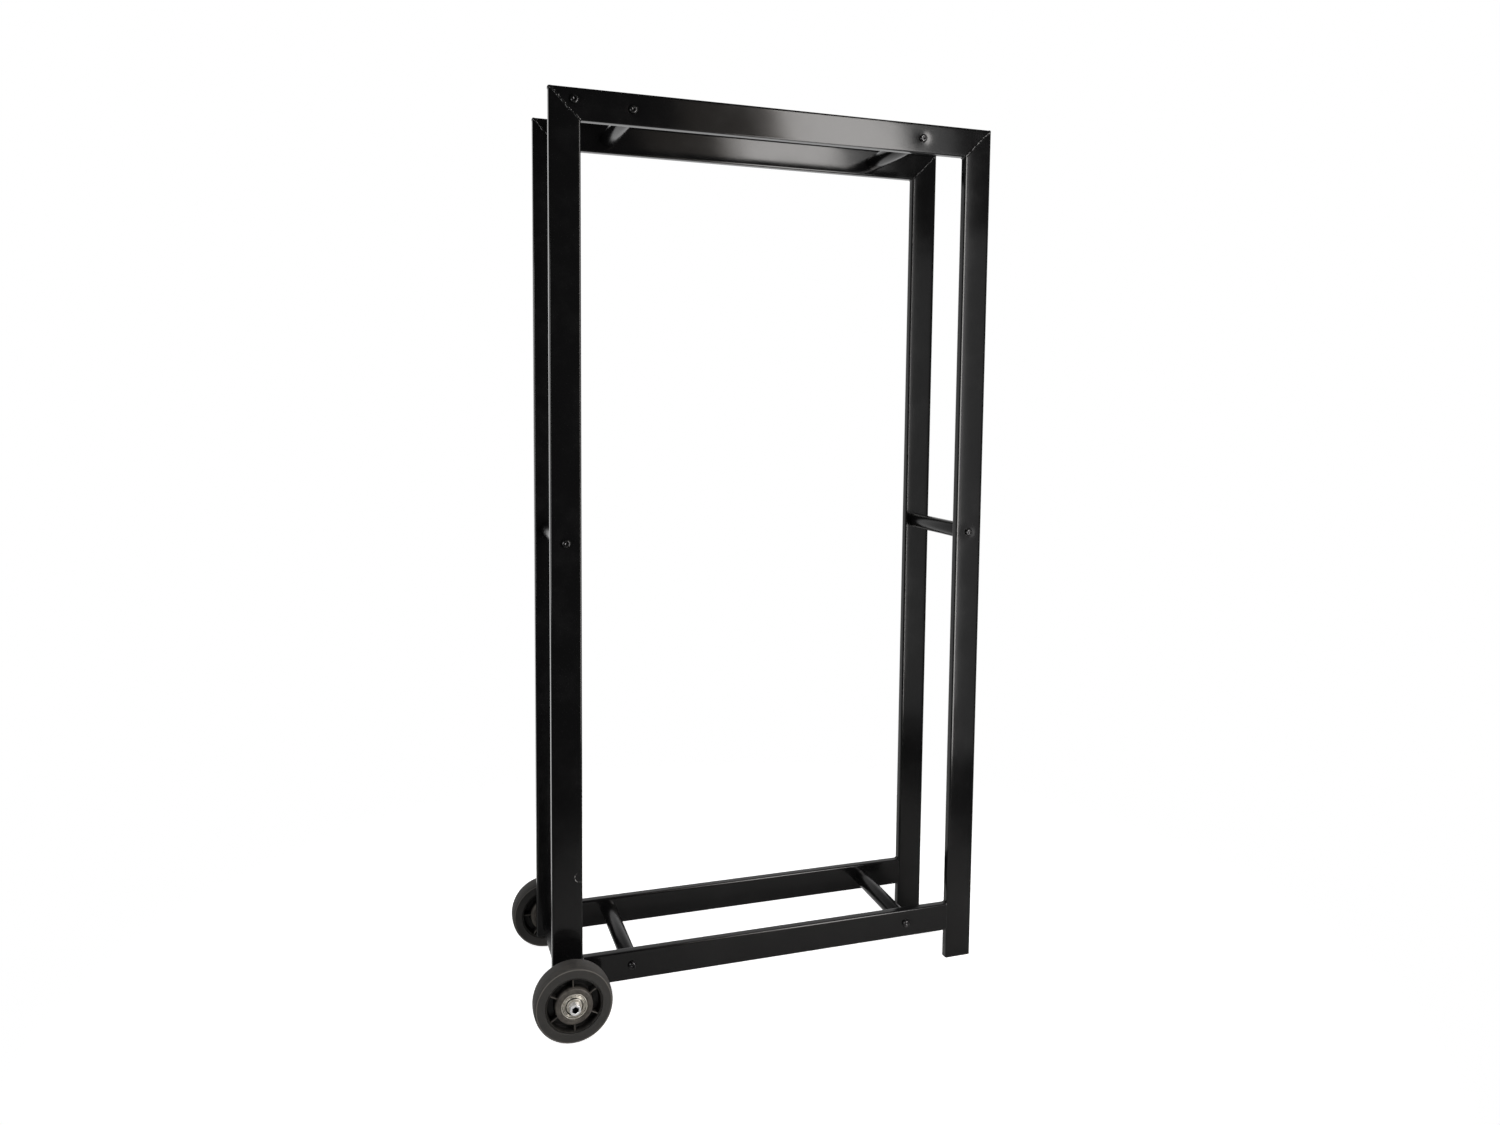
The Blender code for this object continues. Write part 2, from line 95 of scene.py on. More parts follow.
# Weld beads
BEAD_RADIUS = 0.0030
BEAD_SUNK = 0.0020
RAIL_BEAD_EXTRA = 0.0008
BEAD_WANDER = 0.0014
BEAD_WOBBLE = 0.0005
BEAD_LUMPS = 0.00040
BEAD_CORNER = 0.0022
MITRE_STRENGTH = 1.0
RAIL_STRENGTH = 0.35
BEAD_STEP = 0.0007
BEAD_SIDES = 14
BEAD_FULLNESS = 0.92
BEAD_SWELL = 0.22
BEAD_RIPPLE = 0.10
BEAD_SEEDS = 50.0
LUMPS_PER_METRE = 450.0
MITRE_INSIDE = 0.4
RAIL_INSIDE = 0.3
# How often each unevenness comes back in a metre of bead, and the row of the noise that it follows
BEAD_NOISE = {"wander": (150.0, 0.0), "swell": (110.0, 5.0), "ripple": (420.0, 9.0)}

# Spacers and sleeves
BAR_CHAMFER = 0.0006
SPACER_BORE = 0.3

# Bolts. The first five are shares of a socket's width across its flats.
SOCKET_BEVEL = 0.05
DRILL_RADIUS = 0.40
DRILL_EDGE_DROP = 0.04
DRILL_TIP_RADIUS = 0.02
DRILL_TIP_DROP = 0.22
SOCKET_SIDES = 6
DOME_STEPS = 12
BOLT_SOCKET = 0.005
BOLT_SOCKET_DEPTH = 0.0026
BOLT_FLAT = 0.0040
BOLT_RIM = 0.0009
BOLT_SKIRT = 0.0012
BOLT_SKIRT_INSIDE = 0.7
AXLE_SOCKET = 0.010
AXLE_SOCKET_DEPTH = 0.0066
AXLE_CHAMFER = 0.0011
AXLE_BASE_CORNER = 0.0004
AXLE_BASE_INSIDE = 0.9
AXLE_SEAT_GAP = 0.0002
# How deep below the head top, and how far out as a share of the socket, the painted shade in the axle
# screw's socket reaches
SOCKET_SHADE_DEPTH = 0.0009
SOCKET_SHADE_REACH = 0.60

# Wheels
WHEEL_STEPS = 120
TYRE_BORE_RADIUS = 0.0460
TYRE_BORE_ROUND = 0.0010
TYRE_DISH_START = 0.004
TYRE_DISH_END = 0.003
TYRE_DISH_DEPTHS = (0.00015, 0.00020, 0.00010)
TYRE_SIDE_RADIUS = 0.0598
TYRE_SHOULDER_RADIUS = 0.0624
TYRE_SHOULDER_DEPTH = 0.0042
TYRE_SHOULDER_INSET = 0.0006
TYRE_SHOULDER_DROP = 0.0004
TYRE_CROWN_DEPTH = 0.0105
LIP_WIDTH = 0.0009
LIP_HEIGHT = 0.0003
LIP_FULLNESS = 0.8
PARTING_LINE = 0.00015
PARTING_HALF = 0.0004
TREAD_FLAT_HALF = 0.0012
CROWN_STEPS = 4
CROWN_DROP = 0.0002
RIM_RADIUS = 0.0457
RIM_WALL = 0.0025
RIM_RECESS = 0.002
RIM_EDGE_INSET = 0.0002
RIM_EDGE_HEIGHT = 0.0005
RIM_EDGE_DROP = 0.0006
BOSS_RADIUS = 0.02975
BOSS_PROUD = 0.002
BOSS_ROUND = (0.0028, 0.0019)
BOSS_ROUND_DROP = 0.0020
MOUTH_ROUND = (0.0018, 0.0012)
MOUTH_OFFSET = 0.0020
SEAT_CLEARANCE = 0.0002
SEAT_DEPTH = 0.012
SEAT_LEDGE = 0.0022
DRAFT = 0.0008
# Where the wheel centre changes from painted shade in its hollows to its dusty face
DUST_AND_SHADE_RADII = (0.0410, 0.0430)
DUST_AND_SHADE_HEIGHTS = (0.0105, 0.0150)
WEB_HALF = 0.0025
WEB_FILLET = 0.0015
RIB_COUNT = 6
RIB_HALF_TOP = 0.0010
RIB_HALF_ROOT = 0.0016
RIB_RECESS = 0.0035
RIB_OVERLAP = 0.004
CORE_TURN = {"front": 92.0, "rear": 4.0}
BEARING_RADIUS = 0.021
RACE_RADIUS = 0.0189
GROOVE_DEPTH = 0.0014
GROOVE_CORNER = 0.0004
GROOVE_OUTER = 0.0001
GROOVE_INNER = 0.0006
BEARING_EDGE = 0.0005
SHIELD_RIDGES = (0.0174, 0.0153)
RIDGE_HALF = 0.0008
RIDGE_DROP = 0.0008
RIDGE_HEIGHT = 0.0006
RIDGE_FOOT = 0.0010
SHIELD_RADIUS = 0.0131
SHIELD_FACE = 0.0009
SHIELD_EDGE = 0.0003
SHIELD_CORNER = 0.0012
SHIELD_BACK = 0.0020
SHIELD_HELD = 0.0004
# How far below the bearing face the painted shade in the shield grooves starts
SHIELD_SHADE_DEPTH = 0.0008
INNER_RACE_RADIUS = 0.0125
BORE_RADIUS = 0.0063

# Light grey hooked mark on the front left post
HOOK_MARK_INSET = 0.0450
HOOK_MARK_HEIGHT = 0.2440
HOOK_MARK_RADIUS = 0.0080
# Each pair is where a fade starts and where it ends
HOOK_MARK_LINE = (0.0004, 0.0011)
HOOK_MARK_TAIL = (0.0003, 0.0008)
HOOK_MARK_LOWER = (0.0020, 0.0060)
HOOK_MARK_LEFT = (-0.0050, -0.0010)
HOOK_MARK_RIGHT = (-0.001, 0.0)
HOOK_MARK_BEHIND_FACE = (0.0015, 0.0025)
HOOK_MARK_UPPER_STRENGTH = 0.10
HOOK_MARK_TAIL_STRENGTH = 0.40

# Colours, as linear light
PAINT_BLACK = (0.0036, 0.0036, 0.0038)
PAINT_RUBBED = (0.0060, 0.0060, 0.0062)
PAINT_DUST = (0.085, 0.080, 0.074)
PAINT_SCRATCH = (0.070, 0.070, 0.072)
# The light grey of the hooked mark on the front left post
HOOK_MARK_GREY = (0.260, 0.255, 0.250)
OXIDE_BLACK = (0.030, 0.030, 0.032)
OXIDE_WORN = (0.140, 0.137, 0.133)
BEARING_BRIGHT = (0.66, 0.63, 0.56)
BEARING_TINT = (0.40, 0.37, 0.31)
SCREW_BRIGHT = (0.93, 0.93, 0.94)
SCREW_TINT = (0.80, 0.80, 0.82)
PLATED_BRIGHT = (0.90, 0.90, 0.91)
PLATED_TINT = (0.76, 0.76, 0.78)
# Near-black bluish colour for painted shade in sockets and bearing grooves
RECESS_SHADE = (0.004, 0.006, 0.010)
RUBBER_DARK = (0.0270, 0.0260, 0.0245)
RUBBER_LIGHT = (0.0345, 0.0328, 0.0303)
RUBBER_WORN = (0.058, 0.052, 0.047)
# Light colour of the painted highlight along the tyre's lip
RUBBER_LIP_HIGHLIGHT = (0.130, 0.120, 0.108)
RUBBER_SPECK = (0.110, 0.100, 0.090)
# Near-black colours for the painted shade in the wheel centre's hollows
CORE_HOLLOW_SHADE_DARK = (0.0050, 0.0048, 0.0042)
CORE_HOLLOW_SHADE_LIGHT = (0.0095, 0.0088, 0.0078)
CORE_FACE_DARK = (0.046, 0.041, 0.036)
CORE_FACE_LIGHT = (0.088, 0.079, 0.068)
PLUG_DARK = (0.009, 0.009, 0.009)
PLUG_LIGHT = (0.016, 0.016, 0.016)
WHITE = (1.0, 1.0, 1.0)
WARM_WHITE = (1.0, 0.975, 0.955)
WARM_EDGE = (1.0, 0.93, 0.87)
WARM_SPILL = (1.0, 0.89, 0.78)

# Stage: each fade is (from, to, light at the start, light at the end) along one axis of the direction
FLOOR_RADIUS = 1.20
FLOOR_SOLID = 0.50
FLOOR_MIRRORED = 0.52
FLOOR_GLOW = 0.80
FLOOR_COLOUR = (0.88, 0.88, 0.87)
FLOOR_DROP = 0.0002
WORLD_BACK = (-0.30, 0.40, 0.03, 0.95)
WORLD_CEILING = (0.10, 0.80, 1.0, 0.12)
WORLD_LEFT = (-0.50, -0.20, 0.50, 1.0)

SIDES = {"front": -1, "rear": 1}
CHANCE = random.Random(CHANCE_SEED)

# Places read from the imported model
post_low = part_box("front_left_post")[0]
OUTER_Y = -post_low.y
HOOK_MARK_CENTRE = (post_low.x + HOOK_MARK_INSET, HOOK_MARK_HEIGHT)
bearing_low, bearing_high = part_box("front_outboard_bearing_outer_ring")
BEARING_HALF = (bearing_high.y - bearing_low.y) / 2
HUBS = {joint["child"].removesuffix("_wheel"): joint["pos_m"] for joint in frame["joints"]}
BOLT_NAMES = {}
for frame_side in SIDES:
    bolts = (name for name in frame["nodes"] if name.startswith(frame_side) and name.endswith("_bolt"))
    BOLT_NAMES[frame_side] = sorted(bolts)
BOLT_PLACES = {}
for bolt_name in BOLT_NAMES["front"] + BOLT_NAMES["rear"]:
    bolt_low, bolt_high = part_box(bolt_name)
    BOLT_PLACES[bolt_name] = ((bolt_low.x + bolt_high.x) / 2, (bolt_low.z + bolt_high.z) / 2)


# Meshes


def mesh_from(name, points, faces, smooth_angle=SMOOTH_ANGLE):
    mesh = bpy.data.meshes.new(name)
    mesh.from_pydata([tuple(point) for point in points], [], faces)
    builder = bmesh.new()
    builder.from_mesh(mesh)
    bmesh.ops.remove_doubles(builder, verts=builder.verts, dist=MERGE)
    bmesh.ops.recalc_face_normals(builder, faces=builder.faces)
    builder.to_mesh(mesh)
    builder.free()
    mesh.shade_smooth()
    mesh.set_sharp_from_angle(angle=math.radians(smooth_angle))
    return mesh


def add_piece(name, mesh, material, body, stands_for, matrix=None):
    piece = bpy.data.objects.new(name, mesh)
    bpy.context.scene.collection.objects.link(piece)
    if matrix is not None:
        piece.matrix_world = matrix
    mesh.materials.clear()
    mesh.materials.append(material)
    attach(piece, body)
    if stands_for:
        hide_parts(*stands_for)
    return piece


def loft(rings, closed_rings=False):
    """Points and faces of a skin over rings of equal length. Open ends are capped."""
    count = len(rings[0])
    points = [point for ring in rings for point in ring]
    faces = []
    spans = len(rings) if closed_rings else len(rings) - 1
    for row in range(spans):
        first = row * count
        second = ((row + 1) % len(rings)) * count
        for column in range(count):
            following = (column + 1) % count
            faces.append((first + column, first + following, second + following, second + column))
    if not closed_rings:
        faces.append(tuple(range(count)))
        last = (len(rings) - 1) * count
        faces.append(tuple(last + column for column in reversed(range(count))))
    return points, faces


def circle_ring(radius, height, steps):
    ring = []
    for step in range(steps):
        angle = 2.0 * math.pi * step / steps
        ring.append((radius * math.cos(angle), radius * math.sin(angle), height))
    return ring


def hexagon_ring(across_flats, height, steps):
    """A hexagon with as many points as a circle, so that the two can be joined ring to ring."""
    ring = []
    sector = 2.0 * math.pi / SOCKET_SIDES
    for step in range(steps):
        angle = 2.0 * math.pi * step / steps
        from_flat = (angle + sector / 2) % sector - sector / 2
        radius = across_flats / 2 / math.cos(from_flat)
        ring.append((radius * math.cos(angle), radius * math.sin(angle), height))
    return ring


def lathe(name, profile, steps=WHEEL_STEPS, smooth_angle=SMOOTH_ANGLE):
    """A closed profile of (radius, height) points turned about local Z."""
    rings = [circle_ring(radius, height, steps) for radius, height in profile]
    points, faces = loft(rings, closed_rings=True)
    return mesh_from(name, points, faces, smooth_angle)


def arc(centre_radius, centre_height, size_radius, size_height, start, end, steps):
    """Points along part of an ellipse in a profile. The angle is 0 outwards and 90 at the top."""
    points = []
    for step in range(steps + 1):
        angle = math.radians(start + (end - start) * step / steps)
        radius = centre_radius + size_radius * math.cos(angle)
        points.append((radius, centre_height + size_height * math.sin(angle)))
    return points


def outward(side, x, z, distance=0.0):
    """Local Z points out of the side's frame, starting at its outer face."""
    sign = SIDES[side]
    place = Matrix.Translation((x, sign * (OUTER_Y + distance), z))
    return place @ Matrix.Rotation(-sign * math.pi / 2, 4, "X")


# Materials


class Paintbox:
    """A Principled material and short calls that add nodes to it."""

    def __init__(self, name):
        self.material = bpy.data.materials.new(name)
        self.material.use_nodes = True
        self.tree = self.material.node_tree
        self.shader = self.tree.nodes["Principled BSDF"]
        self.place = self.node("ShaderNodeTexCoord").outputs["Object"]

    def node(self, kind, **settings):
        made = self.tree.nodes.new(kind)
        for key, value in settings.items():
            setattr(made, key, value)
        return made

    def link(self, source, target):
        self.tree.links.new(source, target)

    def stretched(self, scale):
        mapping = self.node("ShaderNodeMapping")
        mapping.inputs["Scale"].default_value = scale
        self.link(self.place, mapping.inputs["Vector"])
        return mapping.outputs["Vector"]

    def split_radius(self):
        """The object coordinates split by axis, and the distance from local Z."""
        split = self.node("ShaderNodeSeparateXYZ")
        self.link(self.place, split.inputs["Vector"])
        squares = [self.compute("MULTIPLY", split.outputs[axis], split.outputs[axis]) for axis in ("X", "Y")]
        return split, self.compute("SQRT", self.compute("ADD", *squares), 0.0)

    def grain(self, scale, detail=2.0, roughness=0.5, place=None):
        """Noise of about scale lumps to the metre, with finer noise on top."""
        made = self.node("ShaderNodeTexNoise")
        made.inputs["Scale"].default_value = scale
        made.inputs["Detail"].default_value = detail
        made.inputs["Roughness"].default_value = roughness
        self.link(place or self.place, made.inputs["Vector"])
        return made.outputs["Fac"]

    def spread(self, source, low, high, to_low=0.0, to_high=1.0):
        """Maps the values from low to high smoothly to those from to_low to to_high."""
        made = self.node("ShaderNodeMapRange")
        made.interpolation_type = "SMOOTHSTEP"
        self.link(source, made.inputs["Value"])
        for socket, value in zip(("From Min", "From Max", "To Min", "To Max"), (low, high, to_low, to_high)):
            made.inputs[socket].default_value = value
        return made.outputs["Result"]

    def compute(self, operation, first, second):
        made = self.node("ShaderNodeMath", operation=operation)
        for index, source in enumerate((first, second)):
            if isinstance(source, (int, float)):
                made.inputs[index].default_value = source
            else:
                self.link(source, made.inputs[index])
        return made.outputs["Value"]

    def blend(self, share, first, second):
        """Mixes two colours, each a tuple or a node's output."""
        made = self.node("ShaderNodeMix", data_type="RGBA")
        self.link(share, made.inputs["Factor"])
        for socket, source in ((made.inputs[6], first), (made.inputs[7], second)):
            if isinstance(source, tuple):
                socket.default_value = (*source, 1.0)
            else:
                self.link(source, socket)
        return made.outputs[2]

    def bumps(self, *layers):
        """Each layer is a height, the depth in metres that it stands for, and its strength."""
        normal = None
        for height, distance, strength in layers:
            made = self.node("ShaderNodeBump")
            made.inputs["Distance"].default_value = distance
            made.inputs["Strength"].default_value = strength
            self.link(height, made.inputs["Height"])
            if normal is not None:
                self.link(normal, made.inputs["Normal"])
            normal = made.outputs["Normal"]
        self.link(normal, self.shader.inputs["Normal"])

    def finish(self, colour, roughness, metallic=0.0, ior=1.45):
        for socket, source in (("Base Color", colour), ("Roughness", roughness)):
            target = self.shader.inputs[socket]
            if isinstance(source, tuple):
                target.default_value = (*source, 1.0)
            else:
                self.link(source, target)
        self.shader.inputs["Metallic"].default_value = metallic
        self.shader.inputs["IOR"].default_value = ior
        return self.material


def paint_material(name, hook_marked=False, ior=1.42, dull=0.0):
    """Semi-gloss black paint with orange peel, dust specks, rubbed patches and a few fine scratches."""
    box = Paintbox(name)
    peel = box.grain(scale=520.0, detail=1.5)
    drift = box.grain(scale=11.0, detail=1.0)
    patches = box.grain(scale=16.0, detail=4.0, roughness=0.62)
    specks = box.spread(box.grain(scale=1400.0, detail=1.0), 0.70, 0.80)
    lines = box.grain(scale=60.0, detail=3.0, roughness=0.7, place=box.stretched((14.0, 1.0, 0.35)))
    scratches = box.spread(lines, 0.71, 0.76)
    rubbed = box.spread(patches, 0.45, 0.75)
    black = box.blend(rubbed, PAINT_BLACK, PAINT_RUBBED)
    dusty = box.blend(box.compute("MULTIPLY", specks, 0.12), black, PAINT_DUST)
    colour = box.blend(box.compute("MULTIPLY", scratches, 0.10), dusty, PAINT_SCRATCH)
    sheen = box.spread(patches, 0.3, 0.8, 0.115 + dull, 0.165 + dull)
    roughness = box.compute("ADD", sheen, box.compute("MULTIPLY", scratches, 0.10))
    # A short light grey hooked mark, rougher than the paint around it, on the front left post only.
    if hook_marked:
        mark = hook_mark_mask(box)
        colour = box.blend(mark, colour, HOOK_MARK_GREY)
        roughness = box.compute("ADD", roughness, box.compute("MULTIPLY", mark, 0.25))
    box.bumps((drift, 0.0010, 0.06), (peel, 0.00003, 0.25))
    return box.finish(colour, roughness, ior=ior)


def hook_mark_mask(box):
    """A short light grey hooked mark low on the wheel-end post of the front frame."""
    split = box.node("ShaderNodeSeparateXYZ")
    box.link(box.place, split.inputs["Vector"])
    x = box.compute("SUBTRACT", split.outputs["X"], HOOK_MARK_CENTRE[0])
    z = box.compute("SUBTRACT", split.outputs["Z"], HOOK_MARK_CENTRE[1])
    squares = [box.compute("MULTIPLY", offset, offset) for offset in (x, z)]
    distance = box.compute("SQRT", box.compute("ADD", *squares), 0.0)
    off_ring = box.compute("ABSOLUTE", box.compute("SUBTRACT", distance, HOOK_MARK_RADIUS), 0.0)
    ring = box.spread(off_ring, *HOOK_MARK_LINE, 1.0, 0.0)
    lower_part = box.spread(z, *HOOK_MARK_LOWER, 1.0, HOOK_MARK_UPPER_STRENGTH)
    left_part = box.compute("MULTIPLY", box.spread(x, *HOOK_MARK_LEFT, 1.0, 0.0), lower_part)
    off_tail = box.compute("ABSOLUTE", box.compute("ADD", z, HOOK_MARK_RADIUS), 0.0)
    tail = box.spread(off_tail, *HOOK_MARK_TAIL, HOOK_MARK_TAIL_STRENGTH, 0.0)
    right_part = box.spread(x, *HOOK_MARK_RIGHT)
    hook = box.compute("MULTIPLY", ring, left_part)
    mark = box.compute("ADD", hook, box.compute("MULTIPLY", tail, right_part))
    broken = box.spread(box.grain(scale=700.0, detail=2.0), 0.38, 0.60, 0.05, 1.0)
    behind_face = [-OUTER_Y + depth for depth in HOOK_MARK_BEHIND_FACE]
    front = box.spread(split.outputs["Y"], *behind_face, 1.0, 0.0)
    return box.compute("MULTIPLY", box.compute("MULTIPLY", mark, broken), front)


def bolt_material():
    """Black oxide steel, worn brighter in random patches."""
    box = Paintbox("bolt_black_oxide")
    wear = box.spread(box.grain(scale=900.0, detail=3.0, roughness=0.6), 0.45, 0.75)
    colour = box.blend(wear, OXIDE_BLACK, OXIDE_WORN)
    roughness = box.spread(box.grain(scale=500.0, detail=2.0), 0.3, 0.7, 0.16, 0.28)
    box.bumps((box.grain(scale=2500.0, detail=1.0), 0.00002, 0.25))
    return box.finish(colour, roughness, metallic=0.9)


def turned_steel_material(name, bright, tint, smooth, recess_shade=None):
    """Ground or plated steel with fine turning marks round local Z.

    The last argument is (height, radius): nearer than both to the middle of the piece, the colour is
    darkened to near-black as painted shade.
    """
    box = Paintbox(name)
    split, radius = box.split_radius()
    joined = box.node("ShaderNodeCombineXYZ")
    box.link(radius, joined.inputs["X"])
    box.link(split.outputs["Z"], joined.inputs["Y"])
    rings = box.grain(scale=1800.0, detail=2.0, roughness=0.6, place=joined.outputs["Vector"])
    haze = box.spread(box.grain(scale=170.0, detail=4.0, roughness=0.6), 0.40, 0.80)
    colour = box.blend(haze, bright, tint)
    if recess_shade is not None:
        # Painted shade: deep inside and near the middle, the colour falls to near-black.
        height = box.compute("ABSOLUTE", split.outputs["Z"], 0.0)
        deep = box.spread(height, recess_shade[0] - 0.0004, recess_shade[0], 1.0, 0.0)
        inside = box.spread(radius, recess_shade[1], recess_shade[1] + 0.0001, 1.0, 0.0)
        colour = box.blend(box.compute("MULTIPLY", deep, inside), colour, RECESS_SHADE)
    lustre = box.compute("MULTIPLY", rings, 0.08)
    roughness = box.compute("ADD", box.spread(haze, 0.0, 1.0, smooth, smooth + 0.06), lustre)
    box.bumps((rings, 0.00001, 0.20))
    return box.finish(colour, roughness, metallic=0.68)


def screw_steel_material(side, head_high):
    # Painted shade deep in the hex socket of the axle screw head.
    socket = (head_high - SOCKET_SHADE_DEPTH, AXLE_SOCKET * SOCKET_SHADE_REACH)
    return turned_steel_material(f"{side}_screw_steel", SCREW_BRIGHT, SCREW_TINT, 0.20, socket)


def rubber_material():
    """Dark warm grey rubber, dusty on the tread, with a fine moulded grain, a few rubbed streaks and a
    painted highlight along the lip round each side.
    """
    box = Paintbox("tyre_rubber")
    _, radius = box.split_radius()
    tread_start = TYRE_SIDE_RADIUS + TYRE_SHOULDER_INSET
    tread = box.spread(radius, tread_start, TYRE_SHOULDER_RADIUS + TYRE_SHOULDER_INSET)
    streaks = box.grain(scale=85.0, detail=5.0, roughness=0.62, place=box.stretched((1.0, 1.0, 5.0)))
    dust = box.spread(streaks, 0.35, 0.72)
    # Painted highlight along the lip round each side: the next lines mix the lip towards a light colour.
    off_lip = box.compute("ABSOLUTE", box.compute("SUBTRACT", radius, TYRE_SIDE_RADIUS), 0.0)
    lip = box.spread(off_lip, 0.0004, 0.0012, 1.0, 0.0)
    base = box.blend(dust, RUBBER_DARK, RUBBER_LIGHT)
    worn = box.blend(box.compute("MULTIPLY", tread, dust), base, RUBBER_WORN)
    rubbed = box.blend(box.compute("MULTIPLY", lip, 0.75), worn, RUBBER_LIP_HIGHLIGHT)
    specks = box.spread(box.grain(scale=700.0, detail=2.0), 0.66, 0.78)
    colour = box.blend(box.compute("MULTIPLY", specks, 0.35), rubbed, RUBBER_SPECK)
    roughness = box.spread(dust, 0.0, 1.0, 0.60, 0.78)
    coarse = box.grain(scale=260.0, detail=3.0)
    fine = box.grain(scale=1900.0, detail=2.0)
    box.bumps((coarse, 0.0002, 0.25), (fine, 0.00006, 0.45))
    return box.finish(colour, roughness, ior=1.48)


def moulded_material(name, dark, light, low, high):
    """Moulded plastic with a fine spark-eroded grain and a cloudy tone."""
    box = Paintbox(name)
    cloud = box.spread(box.grain(scale=120.0, detail=5.0, roughness=0.6), 0.35, 0.70)
    colour = box.blend(cloud, dark, light)
    roughness = box.spread(cloud, 0.0, 1.0, low, high)
    box.bumps((box.grain(scale=1500.0, detail=2.0), 0.00005, 0.45))
    return box.finish(colour, roughness, ior=1.46)


def core_material():
    """The wheel centre: brown-grey with dust on the boss and the rib tops, near-black in the hollows as
    painted shade.
    """
    box = Paintbox("core_plastic")
    split, radius = box.split_radius()
    height = box.compute("ABSOLUTE", split.outputs["Z"], 0.0)
    # Painted shade: below the boss face and the rib tops the colour falls to near-black.
    inside_rim = box.spread(radius, *DUST_AND_SHADE_RADII, 1.0, 0.15)
    raised = box.compute("MULTIPLY", box.spread(height, *DUST_AND_SHADE_HEIGHTS), inside_rim)
    cloud = box.spread(box.grain(scale=140.0, detail=5.0, roughness=0.6), 0.30, 0.70)
    hollow_shade = box.blend(cloud, CORE_HOLLOW_SHADE_DARK, CORE_HOLLOW_SHADE_LIGHT)
    face = box.blend(cloud, CORE_FACE_DARK, CORE_FACE_LIGHT)
    colour = box.blend(raised, hollow_shade, face)
    roughness = box.spread(cloud, 0.0, 1.0, 0.42, 0.58)
    box.bumps((box.grain(scale=1500.0, detail=2.0), 0.00005, 0.45))
    return box.finish(colour, roughness, ior=1.46)


# Painted tubes


def section_points(half_wide, half_deep):
    """Points round a tube's section as (across the wide face, through the depth)."""
    points = []
    corners = ((1, 1, 0.0), (-1, 1, 90.0), (-1, -1, 180.0), (1, -1, 270.0))
    straight = {0: NARROW_STEPS, 1: WIDE_STEPS, 2: NARROW_STEPS, 3: WIDE_STEPS}
    for index, (wide_sign, deep_sign, start) in enumerate(corners):
        centre = (wide_sign * (half_wide - TUBE_CORNER), deep_sign * (half_deep - TUBE_CORNER))
        corner = []
        for step in range(CORNER_STEPS + 1):
            angle = math.radians(start + 90.0 * step / CORNER_STEPS)
            wide = centre[0] + TUBE_CORNER * math.cos(angle)
            corner.append((wide, centre[1] + TUBE_CORNER * math.sin(angle)))
        if points:
            points += between(points[-1], corner[0], straight[index])
        points += corner
    points += between(points[-1], points[0], straight[0])
    return points


def between(start, end, steps):
    inner = []
    for step in range(1, steps):
        share = step / steps
        inner.append((start[0] + (end[0] - start[0]) * share, start[1] + (end[1] - start[1]) * share))
    return inner


def stations(low, high, bolt_places):
    """Places along a tube, closer together near its bolts."""
    places = {low, high}
    count = math.ceil((high - low) / LONG_STEP)
    for step in range(1, count):
        places.add(low + (high - low) * step / count)
    for bolt in bolt_places:
        steps = round(DENT_REACH / DENT_STEP)
        for step in range(-steps, steps + 1):
            place = bolt + step * DENT_STEP
            if low < place < high:
                places.add(place)
    ordered = sorted(places)
    kept = [ordered[0]]
    for place in ordered[1:-1]:
        if place - kept[-1] > DENT_STEP / 2:
            kept.append(place)
    return kept + [ordered[-1]]


def bolts_on(side, low, high):
    """The bolts whose heads stand on a tube: the place of each, and how hard it has drawn the wall in."""
    found = []
    for name in BOLT_NAMES[side]:
        x, z = BOLT_PLACES[name]
        if low.x < x < high.x and low.z < z < high.z:
            found.append((x, z, DENT_WEAKEST + DENT_VARIATION * CHANCE.random()))
    return found


def wall_shift(x, z, wide_share, bolts):
    """How far a wall lies behind its plane: a slight roundness, softer edges, and a dent at each bolt."""
    shift = FACE_BULGE * wide_share ** 2 + EDGE_FALL * wide_share ** EDGE_FALL_POWER
    fade = 1.0 - wide_share ** DENT_FADE_POWER
    for bolt_x, bolt_z, strength in bolts:
        distance = math.hypot(x - bolt_x, z - bolt_z) / DENT_RADIUS
        shift += DENT_DEPTH * strength * fade * math.exp(-distance * distance)
    return shift


